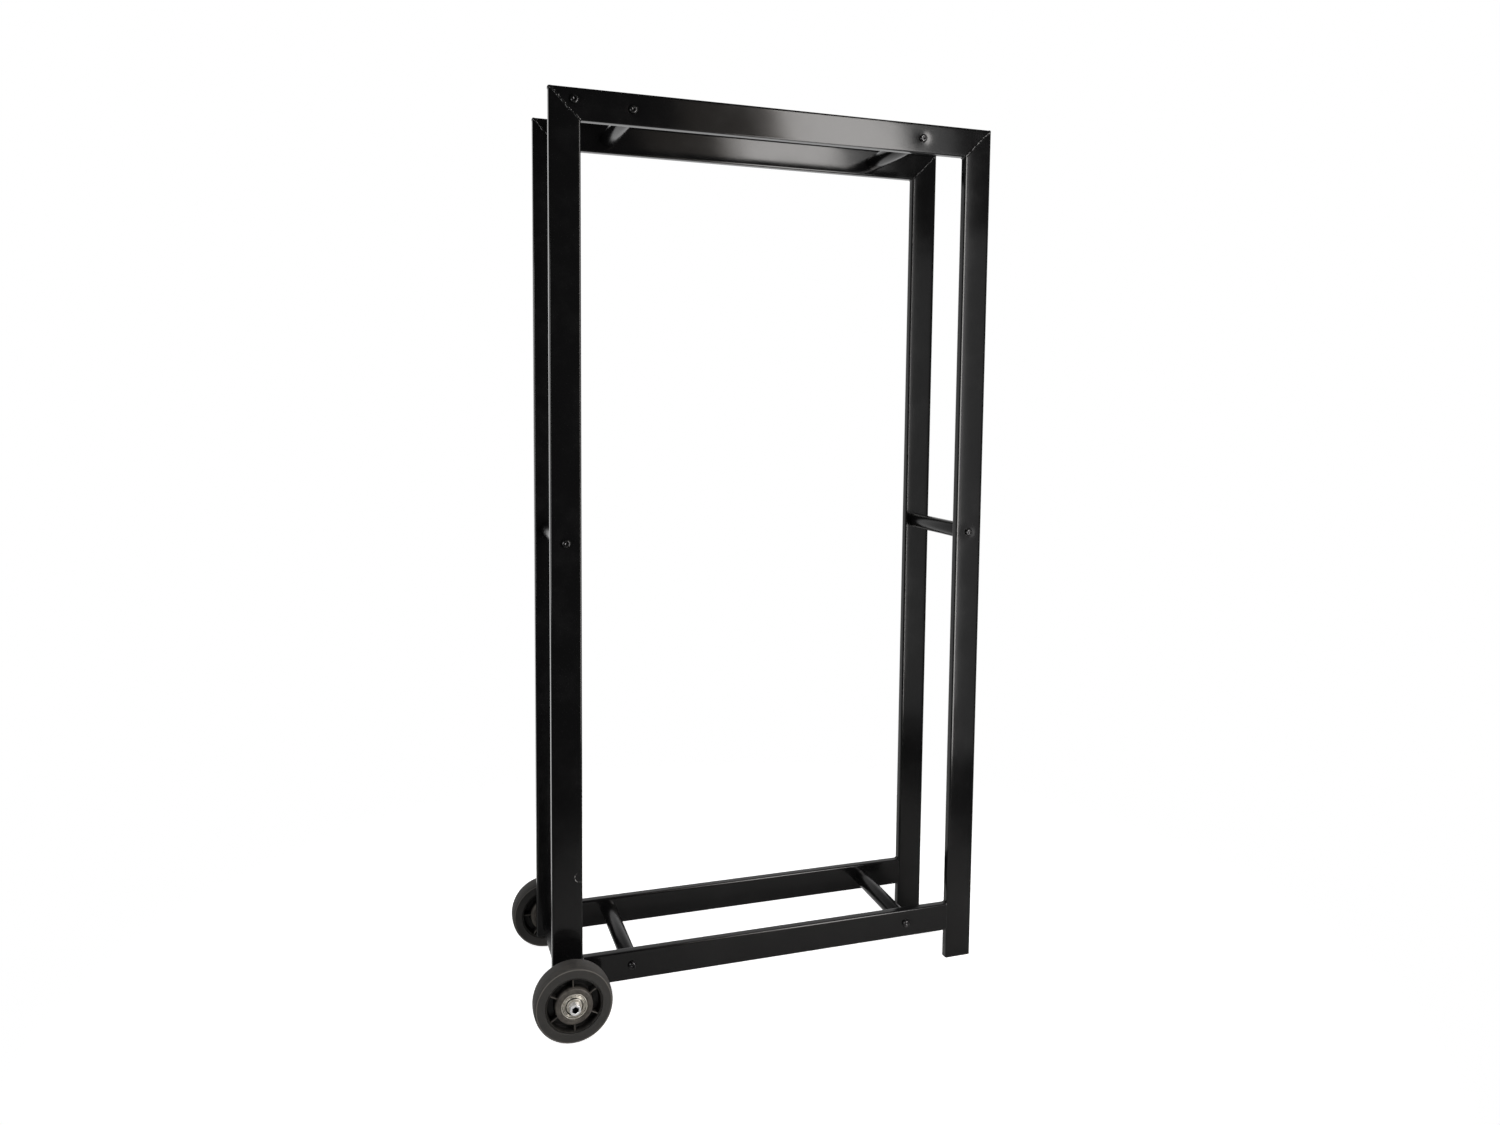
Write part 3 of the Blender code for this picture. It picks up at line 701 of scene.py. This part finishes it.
def make_tube(side, part):
    """One frame tube with rounded corners, mitred where it meets its neighbour at a top corner."""
    node = f"{side}_{part}"
    low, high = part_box(node)
    upright = part.endswith("post")
    half_wide = (high.x - low.x) / 2 if upright else (high.z - low.z) / 2
    half_deep = (high.y - low.y) / 2
    centre = (low + high) / 2
    sign = SIDES[side]
    bolts = bolts_on(side, low, high)
    along = [z if upright else x for x, z, _ in bolts]
    long_low, long_high = (low.z, high.z) if upright else (low.x, high.x)
    section = section_points(half_wide, half_deep)
    near_end = MITRE_REACH * half_wide
    rings = []
    for station in stations(long_low, long_high, along):
        ring = []
        for across, deep in section:
            if upright:
                x, z = centre.x + across, station
                if part == "left_post":
                    inside = across + half_wide
                else:
                    inside = half_wide - across
                z = squeezed(z, long_high, long_high - inside - MITRE_GAP, near_end)
            else:
                x, z = station, centre.z + across
                if part == "top_rail":
                    inside = half_wide - across + MITRE_GAP
                    x = squeezed(x, long_high, long_high - inside, near_end)
                    x = squeezed(x, long_low, long_low + inside, -near_end)
            wide_share = across / half_wide
            y = centre.y + deep
            if deep * sign > half_deep - TUBE_CORNER / 2:
                y -= sign * wall_shift(x, z, wide_share, bolts)
            elif deep * sign < -half_deep + TUBE_CORNER / 2:
                y += sign * wall_shift(x, z, wide_share, ())
            ring.append((x, y, z))
        rings.append(ring)
    points, faces = loft(rings)
    material = HOOK_MARKED_PAINT if node == "front_left_post" else PAINT
    mesh = mesh_from(node, points, faces, PART_SMOOTH_ANGLE)
    add_piece(f"{node}_skin", mesh, material, "frame", [node])


def squeezed(place, end, new_end, reach):
    """Moves the last stretch of a tube so that it ends at new_end instead of end."""
    start = end - reach
    share = (place - start) / (end - start)
    if share <= 0.0:
        return place
    return start + share * (new_end - start)


# Weld beads


def resampled(path, step):
    """Points at an even spacing along a closed path."""
    closed = path + [path[0]]
    made = []
    for start, end in zip(closed, closed[1:]):
        count = max(1, round((end - start).length / step))
        for index in range(count):
            made.append(start.lerp(end, index / count))
    return made


def rounded_loop(corners, radius, steps=4):
    """A closed path with its corners cut by short curves."""
    path = []
    count = len(corners)
    for index, corner in enumerate(corners):
        before = (corners[index - 1] - corner).normalized() * radius
        after = (corners[(index + 1) % count] - corner).normalized() * radius
        for step in range(steps + 1):
            share = step / steps
            first = (corner + before).lerp(corner, share)
            second = corner.lerp(corner + after, share)
            path.append(first.lerp(second, share))
    return path


def make_bead(name, corners, seed, strength):
    """A weld bead round a joint, sunk into the tubes. strength sets how uneven its crest is."""
    path = resampled(rounded_loop(corners, BEAD_CORNER), BEAD_STEP)
    middle = sum(path, Vector()) / len(path)
    count = len(path)
    rings = []
    travelled = 0.0
    for index, point in enumerate(path):
        tangent = (path[(index + 1) % count] - path[index - 1]).normalized()
        inward = middle - point
        inward = (inward - tangent * inward.dot(tangent)).normalized()
        sideways = tangent.cross(inward)
        wander, swell, ripple = (
            noise.noise(Vector((travelled * per_metre, seed, row))) for per_metre, row in BEAD_NOISE.values()
        )
        size = BEAD_RADIUS * (BEAD_FULLNESS + strength * (BEAD_SWELL * swell + BEAD_RIPPLE * ripple))
        centre = point + sideways * (strength * (BEAD_WANDER * wander + BEAD_WOBBLE * ripple))
        ring = []
        for side in range(BEAD_SIDES):
            angle = 2.0 * math.pi * side / BEAD_SIDES
            around = inward * math.cos(angle) + sideways * math.sin(angle)
            spot = centre + around * size
            ring.append(spot + around * (BEAD_LUMPS * noise.noise(spot * LUMPS_PER_METRE)))
        rings.append(ring)
        travelled += (path[(index + 1) % count] - point).length
    points, faces = loft(rings, closed_rings=True)
    add_piece(name, mesh_from(name, points, faces, BEAD_SMOOTH_ANGLE), WELD_PAINT, "frame", ())


def make_welds(side):
    """Beads round the two mitred top corners and the two butt joints of the bottom rail."""
    rail_low, rail_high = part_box(f"{side}_top_rail")
    face = rail_high.z - rail_low.z
    near, far = rail_low.y + BEAD_SUNK, rail_high.y - BEAD_SUNK
    for end, outer_x, direction in (("left", rail_low.x, 1), ("right", rail_high.x, -1)):
        outer = (outer_x + direction * BEAD_SUNK, rail_high.z - BEAD_SUNK)
        inset = MITRE_INSIDE * BEAD_SUNK
        inner = (outer_x + direction * (face - inset), rail_low.z + inset)
        corners = [
            Vector((outer[0], near, outer[1])),
            Vector((inner[0], near, inner[1])),
            Vector((inner[0], far, inner[1])),
            Vector((outer[0], far, outer[1])),
        ]
        make_bead(f"{side}_{end}_mitre_weld", corners, CHANCE.random() * BEAD_SEEDS, MITRE_STRENGTH)
    low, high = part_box(f"{side}_bottom_rail")
    near, far = low.y + BEAD_SUNK + RAIL_BEAD_EXTRA, high.y - BEAD_SUNK - RAIL_BEAD_EXTRA
    for end, x in (("left", low.x), ("right", high.x)):
        corners = [
            Vector((x, near, high.z - BEAD_SUNK * RAIL_INSIDE)),
            Vector((x, near, low.z + BEAD_SUNK * RAIL_INSIDE)),
            Vector((x, far, low.z + BEAD_SUNK * RAIL_INSIDE)),
            Vector((x, far, high.z - BEAD_SUNK * RAIL_INSIDE)),
        ]
        make_bead(f"{side}_{end}_rail_weld", corners, CHANCE.random() * BEAD_SEEDS, RAIL_STRENGTH)


# Spacers and bolts


def make_round_bar(node):
    """A spacer or sleeve along Y with softened end edges."""
    low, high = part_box(node)
    radius = (high.z - low.z) / 2
    half = (high.y - low.y) / 2
    bore = BORE_RADIUS if "standoff" in node or "axle" in node else radius * SPACER_BORE
    edge = radius - BAR_CHAMFER
    profile = [(bore, half), (edge, half)]
    profile += arc(edge, half - BAR_CHAMFER, BAR_CHAMFER, BAR_CHAMFER, 70.0, 0.0, 3)
    profile += arc(edge, -half + BAR_CHAMFER, BAR_CHAMFER, BAR_CHAMFER, 0.0, -70.0, 3)
    profile += [(edge, -half), (bore, -half)]
    place = Matrix.Translation((low + high) / 2) @ Matrix.Rotation(math.pi / 2, 4, "X")
    mesh = lathe(node, profile, BAR_STEPS, RING_SMOOTH_ANGLE)
    add_piece(f"{node}_turned", mesh, SPACER_PAINT, "frame", [node], place)


def socket_rings(across_flats, top, depth, steps):
    """Rings from the socket's bevelled mouth down its flats to its drilled end."""
    bevel = across_flats * SOCKET_BEVEL
    return [
        hexagon_ring(across_flats + 2 * bevel, top, steps),
        hexagon_ring(across_flats, top - bevel, steps),
        hexagon_ring(across_flats, top - depth, steps),
        circle_ring(across_flats * DRILL_RADIUS, top - depth - across_flats * DRILL_EDGE_DROP, steps),
        circle_ring(across_flats * DRILL_TIP_RADIUS, top - depth - across_flats * DRILL_TIP_DROP, steps),
    ]


def button_head_mesh(radius, height, steps=BOLT_STEPS):
    """A domed bolt head with a hexagon socket. Its skirt goes down to the dented tube wall."""
    rings = [circle_ring(across, -BOLT_SKIRT, steps) for across in (radius * BOLT_SKIRT_INSIDE, radius)]
    for step in range(DOME_STEPS + 1):
        angle = math.radians(90.0 * step / DOME_STEPS)
        across = BOLT_FLAT + (radius - BOLT_FLAT) * math.cos(angle)
        rings.append(circle_ring(across, BOLT_RIM + (height - BOLT_RIM) * math.sin(angle), steps))
    rings += socket_rings(BOLT_SOCKET, height, BOLT_SOCKET_DEPTH, steps)
    return mesh_from("button_head", *loft(rings), PART_SMOOTH_ANGLE)


def cap_head_mesh(radius, low, high, steps=BAR_STEPS):
    """The axle screw's tall cylindrical head with a hexagon socket."""
    base = (BORE_RADIUS * AXLE_BASE_INSIDE, radius - AXLE_BASE_CORNER)
    rings = [circle_ring(across, low, steps) for across in base]
    rings.append(circle_ring(radius, low + AXLE_BASE_CORNER, steps))
    chamfer = arc(radius - AXLE_CHAMFER, high - AXLE_CHAMFER, AXLE_CHAMFER, AXLE_CHAMFER, 0.0, 90.0, 6)
    for radial, height in chamfer:
        rings.append(circle_ring(radial, height, steps))
    rings += socket_rings(AXLE_SOCKET, high, AXLE_SOCKET_DEPTH, steps)
    return mesh_from("cap_head", *loft(rings), PART_SMOOTH_ANGLE)


def make_bolts():
    for side in SIDES:
        for name in BOLT_NAMES[side]:
            low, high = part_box(name)
            x, z = BOLT_PLACES[name]
            head_top = max(abs(low.y), abs(high.y)) - OUTER_Y
            mesh = button_head_mesh((high.x - low.x) / 2, head_top)
            turn = Matrix.Rotation(CHANCE.random() * math.pi, 4, "Z")
            place = outward(side, x, z) @ turn
            add_piece(f"{name}_head", mesh, BOLT_STEEL, "frame", [name], place)


# Wheels


def tyre_mesh(radius, half):
    """A solid tyre: a shallow dish and a raised lip on each side, round shoulders and a parting line."""
    side = arc(
        TYRE_BORE_RADIUS + TYRE_BORE_ROUND,
        half - TYRE_BORE_ROUND,
        TYRE_BORE_ROUND,
        TYRE_BORE_ROUND,
        180.0,
        90.0,
        5,
    )
    dish_start = TYRE_BORE_RADIUS + TYRE_DISH_START
    dish = (dish_start, TYRE_SIDE_RADIUS - TYRE_DISH_END, TYRE_SIDE_RADIUS - LIP_WIDTH)
    side += [(place, half - depth) for place, depth in zip(dish, TYRE_DISH_DEPTHS)]
    side += arc(TYRE_SIDE_RADIUS, half - LIP_HEIGHT, LIP_WIDTH * LIP_FULLNESS, LIP_HEIGHT, 140.0, 20.0, 5)
    shoulder = arc(
        TYRE_SIDE_RADIUS + TYRE_SHOULDER_INSET,
        half - TYRE_SHOULDER_DEPTH - TYRE_SHOULDER_DROP,
        TYRE_SHOULDER_RADIUS - TYRE_SIDE_RADIUS - TYRE_SHOULDER_INSET,
        TYRE_SHOULDER_DEPTH,
        78.0,
        8.0,
        8,
    )
    crown = []
    crown_low = half - TYRE_CROWN_DEPTH
    for step in range(CROWN_STEPS + 1):
        share = step / CROWN_STEPS
        height = shoulder[-1][1] + (crown_low - shoulder[-1][1]) * share
        swell = (radius - CROWN_DROP - TYRE_SHOULDER_RADIUS) * math.sqrt(share)
        crown.append((TYRE_SHOULDER_RADIUS + swell, height))
    tread = radius - PARTING_LINE / 3
    middle = [(tread, TREAD_FLAT_HALF), (tread, PARTING_HALF), (radius, 0.0)]
    upper = side + shoulder + crown[1:] + middle
    lower = [(place, -height) for place, height in reversed(upper[:-1])]
    return lathe("tyre", upper + lower, WHEEL_STEPS, TYRE_SMOOTH_ANGLE)


def rib_mesh(builder, angle, half):
    """One rib on both faces of the web, narrower towards its rounded top, from the boss to the rim."""
    top = half - RIB_RECESS
    section = [(-RIB_HALF_ROOT, 0.0)]
    for radial, height in arc(0.0, top - RIB_HALF_TOP, RIB_HALF_TOP, RIB_HALF_TOP, 180.0, 0.0, 6):
        section.append((radial, height))
    section += [(RIB_HALF_ROOT, 0.0)]
    section += [(across, -height) for across, height in reversed(section[1:-1])]
    turn = Matrix.Rotation(angle, 4, "Z")
    rings = []
    for distance in (BOSS_RADIUS - RIB_OVERLAP, RIM_RADIUS - RIM_WALL / 2):
        ring = [turn @ Vector((distance, across, height)) for across, height in section]
        rings.append([builder.verts.new(point) for point in ring])
    count = len(section)
    for column in range(count):
        following = (column + 1) % count
        builder.faces.new((rings[0][column], rings[0][following], rings[1][following], rings[1][column]))
    builder.faces.new(rings[0])
    builder.faces.new(list(reversed(rings[1])))


def core_mesh(half):
    """Rim, web, boss and ribs. The boss face is softly rounded towards its rim and the bearing."""
    rim_half = half - RIM_RECESS
    boss_half = half + BOSS_PROUD
    rim_inside = RIM_RADIUS - RIM_WALL
    upper = [(RIM_RADIUS, 0.0), (RIM_RADIUS, rim_half)]
    rim_edge = RIM_WALL / 2 - RIM_EDGE_INSET
    upper += arc(rim_inside + RIM_WALL / 2, rim_half, rim_edge, RIM_EDGE_HEIGHT, 60.0, 120.0, 4)
    upper += [(rim_inside, rim_half - RIM_EDGE_DROP), (rim_inside - DRAFT, WEB_HALF + WEB_FILLET)]
    upper += [(rim_inside - DRAFT - WEB_FILLET, WEB_HALF), (BOSS_RADIUS + DRAFT + WEB_FILLET, WEB_HALF)]
    upper += [(BOSS_RADIUS + DRAFT, WEB_HALF + WEB_FILLET)]
    upper += arc(BOSS_RADIUS - BOSS_ROUND[0], boss_half - BOSS_ROUND_DROP, *BOSS_ROUND, 0.0, 85.0, 8)
    upper += arc(BEARING_RADIUS + MOUTH_OFFSET, boss_half - MOUTH_ROUND[1], *MOUTH_ROUND, 95.0, 180.0, 6)
    ledge = BEARING_RADIUS - SEAT_LEDGE
    upper += [(BEARING_RADIUS + SEAT_CLEARANCE, half - SEAT_DEPTH), (ledge, half - SEAT_DEPTH), (ledge, 0.0)]
    lower = [(place, -height) for place, height in reversed(upper[1:-1])]
    mesh = lathe("core", upper + lower, WHEEL_STEPS, PART_SMOOTH_ANGLE)
    builder = bmesh.new()
    builder.from_mesh(mesh)
    for index in range(RIB_COUNT):
        rib_mesh(builder, 2.0 * math.pi * index / RIB_COUNT, half)
    bmesh.ops.recalc_face_normals(builder, faces=builder.faces)
    builder.to_mesh(mesh)
    builder.free()
    mesh.shade_smooth()
    mesh.set_sharp_from_angle(angle=math.radians(PART_SMOOTH_ANGLE))
    return mesh


def bearing_outer_mesh(half):
    """A ground outer ring and a pressed shield with raised beads between grooves, on both faces. The bearing
    material paints shade into the grooves and onto the shield face between the beads.
    """
    edge, corner = BEARING_EDGE, GROOVE_CORNER
    upper = [(BEARING_RADIUS, 0.0)]
    upper += arc(BEARING_RADIUS - edge, half - edge, edge, edge, 0.0, 90.0, 4)
    upper += arc(RACE_RADIUS + corner, half - corner, corner, corner, 90.0, 180.0, 3)
    upper += [(RACE_RADIUS - inset, half - GROOVE_DEPTH) for inset in (GROOVE_OUTER, GROOVE_INNER)]
    for ridge in SHIELD_RIDGES:
        upper += arc(ridge, half - RIDGE_DROP, RIDGE_HALF, RIDGE_HEIGHT, 0.0, 180.0, 8)
        upper += [(ridge - RIDGE_FOOT, half - GROOVE_DEPTH)]
    upper += [(SHIELD_RADIUS + SHIELD_EDGE, half - SHIELD_FACE), (SHIELD_RADIUS, half - SHIELD_CORNER)]
    held = RACE_RADIUS - SHIELD_HELD
    upper += [(SHIELD_RADIUS, half - SHIELD_BACK), (held, half - SHIELD_BACK), (held, 0.0)]
    lower = [(place, -height) for place, height in reversed(upper[1:-1])]
    return lathe("bearing_outer", upper + lower, BEARING_STEPS, PART_SMOOTH_ANGLE)


def softened_ring_mesh(name, outer, bore, half, edge, steps=BAR_STEPS):
    """A plain ring whose four edges are rounded."""
    profile = arc(outer - edge, half - edge, edge, edge, 90.0, 0.0, 3)
    profile += arc(outer - edge, -half + edge, edge, edge, 0.0, -90.0, 3)
    profile += arc(bore + edge, -half + edge, edge, edge, 270.0, 180.0, 3)
    profile += arc(bore + edge, half - edge, edge, edge, 180.0, 90.0, 3)
    return lathe(name, profile, steps, RING_SMOOTH_ANGLE)


def outward_span(node):
    """How far a node reaches out from the outer face of its post, as (near, far)."""
    low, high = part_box(node)
    ends = sorted((abs(low.y), abs(high.y)))
    return ends[0] - OUTER_Y, ends[1] - OUTER_Y


def make_wheel(side):
    body = f"{side}_wheel"
    x, _, z = HUBS[side]
    near, far = outward_span(f"{side}_tyre")
    half = (far - near) / 2
    middle = (near + far) / 2
    low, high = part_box(f"{side}_tyre")
    radius = (high.z - low.z) / 2
    wheel = outward(side, x, z, middle)
    tyre = tyre_mesh(radius, half)
    add_piece(f"{side}_moulded_tyre", tyre, RUBBER, body, [f"{side}_tyre"], wheel)
    turned = wheel @ Matrix.Rotation(math.radians(CORE_TURN[side]), 4, "Z")
    core = core_mesh(half)
    add_piece(f"{side}_moulded_core", core, CORE, body, [f"{side}_wheel_core"], turned)

    for station in ("inboard", "outboard"):
        outer_node = f"{side}_{station}_bearing_outer_ring"
        inner_node = f"{side}_{station}_bearing_inner_ring"
        near, far = outward_span(outer_node)
        place = outward(side, x, z, (near + far) / 2)
        bearing_half = (far - near) / 2
        ring = bearing_outer_mesh(bearing_half)
        name = f"{side}_{station}_shielded_ring"
        add_piece(name, ring, BEARING_STEEL, body, [outer_node], place)
        race = softened_ring_mesh("inner_race", INNER_RACE_RADIUS, BORE_RADIUS, bearing_half, BEARING_EDGE)
        name = f"{side}_{station}_inner_race"
        add_piece(name, race, BEARING_STEEL, "frame", [inner_node], place)

    screw_node = f"{side}_axle_screw"
    low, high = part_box(screw_node)
    head_low = outward_span(f"{side}_outboard_bearing_inner_ring")[1] + AXLE_SEAT_GAP
    head_high = max(abs(low.y), abs(high.y)) - OUTER_Y
    head = cap_head_mesh((high.z - low.z) / 2, head_low, head_high)
    steel = screw_steel_material(side, head_high)
    place = outward(side, x, z)
    add_piece(f"{side}_cap_screw", head, steel, "frame", [screw_node], place)
    make_round_bar(f"{side}_standoff_sleeve")


# Stage


def make_camera():
    camera = bpy.data.objects.new("camera", bpy.data.cameras.new("camera"))
    bpy.context.scene.collection.objects.link(camera)
    camera.data.sensor_width = 36.0
    camera.data.lens = CAMERA_LENS
    camera.data.shift_x, camera.data.shift_y = CAMERA_SHIFT
    camera.data.clip_end = 60.0
    aim = Matrix.Rotation(math.radians(-CAMERA_AZIMUTH), 4, "Z")
    aim = aim @ Matrix.Rotation(math.radians(90.0 + CAMERA_ELEVATION), 4, "X")
    aim = aim @ Matrix.Rotation(math.radians(CAMERA_ROLL), 4, "Z")
    camera.matrix_world = Matrix.Translation(CAMERA_PLACE) @ aim
    bpy.context.scene.camera = camera


def make_light(name, place, target, width, height, power, colour=WHITE, roll=0.0):
    light = bpy.data.objects.new(name, bpy.data.lights.new(name, "AREA"))
    bpy.context.scene.collection.objects.link(light)
    light.data.shape = "RECTANGLE"
    light.data.size = width
    light.data.size_y = height
    light.data.energy = power
    light.data.color = colour
    light.visible_camera = False
    away = Vector(place) - Vector(target)
    aim = away.to_track_quat("Z", "Y").to_matrix().to_4x4() @ Matrix.Rotation(math.radians(roll), 4, "Z")
    light.matrix_world = Matrix.Translation(place) @ aim


def make_floor():
    """A round white floor that fades out into the white surroundings."""
    builder = bmesh.new()
    bmesh.ops.create_circle(builder, cap_ends=True, radius=FLOOR_RADIUS, segments=96)
    mesh = bpy.data.meshes.new("floor")
    builder.to_mesh(mesh)
    builder.free()
    floor = bpy.data.objects.new("floor", mesh)
    bpy.context.scene.collection.objects.link(floor)
    floor.location.z = -FLOOR_DROP
    box = Paintbox("floor_white")
    length = box.node("ShaderNodeVectorMath", operation="LENGTH")
    box.link(box.place, length.inputs[0])
    solid = box.spread(length.outputs["Value"], FLOOR_SOLID, FLOOR_RADIUS, 1.0, 0.0)
    seen = box.node("ShaderNodeLightPath").outputs["Is Camera Ray"]
    share = box.spread(seen, 0.0, 1.0, FLOOR_MIRRORED, 1.0)
    box.link(box.compute("MULTIPLY", solid, share), box.shader.inputs["Alpha"])
    box.shader.inputs["Emission Color"].default_value = (*WHITE, 1.0)
    box.link(box.compute("MULTIPLY", seen, FLOOR_GLOW), box.shader.inputs["Emission Strength"])
    box.bumps((box.grain(scale=300.0, detail=2.0), 0.0001, 0.1))
    roughness = box.spread(box.grain(scale=40.0), 0.3, 0.7, 0.85, 0.95)
    mesh.materials.append(box.finish(FLOOR_COLOUR, roughness))


def make_world():
    """White surroundings, seen in reflections as bright behind the object and dim in front of it."""
    world = bpy.data.worlds.new("studio")
    bpy.context.scene.world = world
    world.use_nodes = True
    tree = world.node_tree
    backdrop = tree.nodes["Background"]
    backdrop.inputs["Color"].default_value = (*WHITE, 1.0)
    split = tree.nodes.new("ShaderNodeSeparateXYZ")
    tree.links.new(tree.nodes.new("ShaderNodeTexCoord").outputs["Generated"], split.inputs["Vector"])
    light = None
    for axis, values in (("Y", WORLD_BACK), ("Z", WORLD_CEILING), ("X", WORLD_LEFT)):
        fade = tree.nodes.new("ShaderNodeMapRange")
        fade.interpolation_type = "SMOOTHSTEP"
        tree.links.new(split.outputs[axis], fade.inputs["Value"])
        for socket, value in zip(("From Min", "From Max", "To Min", "To Max"), values):
            fade.inputs[socket].default_value = value
        if light is None:
            light = fade.outputs["Result"]
            continue
        product = tree.nodes.new("ShaderNodeMath")
        product.operation = "MULTIPLY"
        tree.links.new(light, product.inputs[0])
        tree.links.new(fade.outputs["Result"], product.inputs[1])
        light = product.outputs["Value"]
    seen = tree.nodes.new("ShaderNodeLightPath").outputs["Is Camera Ray"]
    strength = tree.nodes.new("ShaderNodeMix")
    tree.links.new(seen, strength.inputs["Factor"])
    tree.links.new(light, strength.inputs["A"])
    strength.inputs["B"].default_value = 1.0
    tree.links.new(strength.outputs["Result"], backdrop.inputs["Strength"])


bpy.context.scene.view_settings.view_transform = "Standard"
make_camera()

PAINT = paint_material("frame_paint")
HOOK_MARKED_PAINT = paint_material("frame_paint_hook_marked", hook_marked=True)
WELD_PAINT = paint_material("weld_paint", ior=1.50, dull=0.13)
SPACER_PAINT = paint_material("spacer_paint", ior=1.34, dull=0.08)
BOLT_STEEL = bolt_material()
# The bearing steel gets painted shade in its grooves and on its shield face between the beads.
BEARING_STEEL = turned_steel_material(
    "bearing_steel", BEARING_BRIGHT, BEARING_TINT, 0.17, (BEARING_HALF - SHIELD_SHADE_DEPTH, RACE_RADIUS)
)
PLATED_STEEL = turned_steel_material("plated_steel", PLATED_BRIGHT, PLATED_TINT, 0.18)
RUBBER = rubber_material()
CORE = core_material()
PLUG_PLASTIC = moulded_material("plug_plastic", PLUG_DARK, PLUG_LIGHT, 0.42, 0.60)

for frame_side in SIDES:
    for tube in ("left_post", "right_post", "top_rail", "bottom_rail"):
        make_tube(frame_side, tube)
    make_welds(frame_side)
    make_wheel(frame_side)
for bar in sorted(n for n in frame["nodes"] if n.endswith("_spacer") or n in ("corner_bar", "axle_tube")):
    make_round_bar(bar)
make_bolts()

for node_name, node in frame["nodes"].items():
    if not node.hide_render:
        node.data.materials.clear()
        plastic = node_name.endswith(("_foot", "_plug"))
        node.data.materials.append(PLUG_PLASTIC if plastic else PLATED_STEEL)

make_floor()
make_world()
make_light(
    "tall_softbox",
    place=(0.534, -1.10, 1.05),
    target=(0.088, 0.0, 1.05),
    width=0.312,
    height=1.95,
    power=21.3,
    colour=WARM_WHITE,
    roll=1.0,
)
make_light(
    "softbox_left_edge",
    place=(0.343, -1.10, 1.05),
    target=(-0.10, 0.0, 1.05),
    width=0.07,
    height=1.90,
    power=0.9,
    colour=WARM_EDGE,
)
make_light(
    "softbox_left_spill",
    place=(0.24, -1.10, 1.10),
    target=(-0.06, 0.0, 1.10),
    width=0.30,
    height=1.80,
    power=0.7,
    colour=WARM_SPILL,
)
make_light(
    "softbox_right_edge",
    place=(0.76, -1.10, 1.10),
    target=(0.25, 0.0, 1.10),
    width=0.14,
    height=1.80,
    power=1.15,
)
make_light(
    "softbox_right_spill",
    place=(0.95, -1.14, 0.77),
    target=(0.40, 0.0, 0.77),
    width=0.36,
    height=1.50,
    power=0.85,
)
make_light(
    "left_softbox",
    place=(-1.70, -0.80, 0.90),
    target=(-0.35, -0.15, 0.10),
    width=0.80,
    height=1.20,
    power=14.0,
)
make_light(
    "overhead_softbox",
    place=(0.0, 0.3, 3.0),
    target=(0.0, 0.0, 0.0),
    width=2.2,
    height=2.2,
    power=16.0,
)
bpy.data.objects["overhead_softbox"].visible_glossy = False
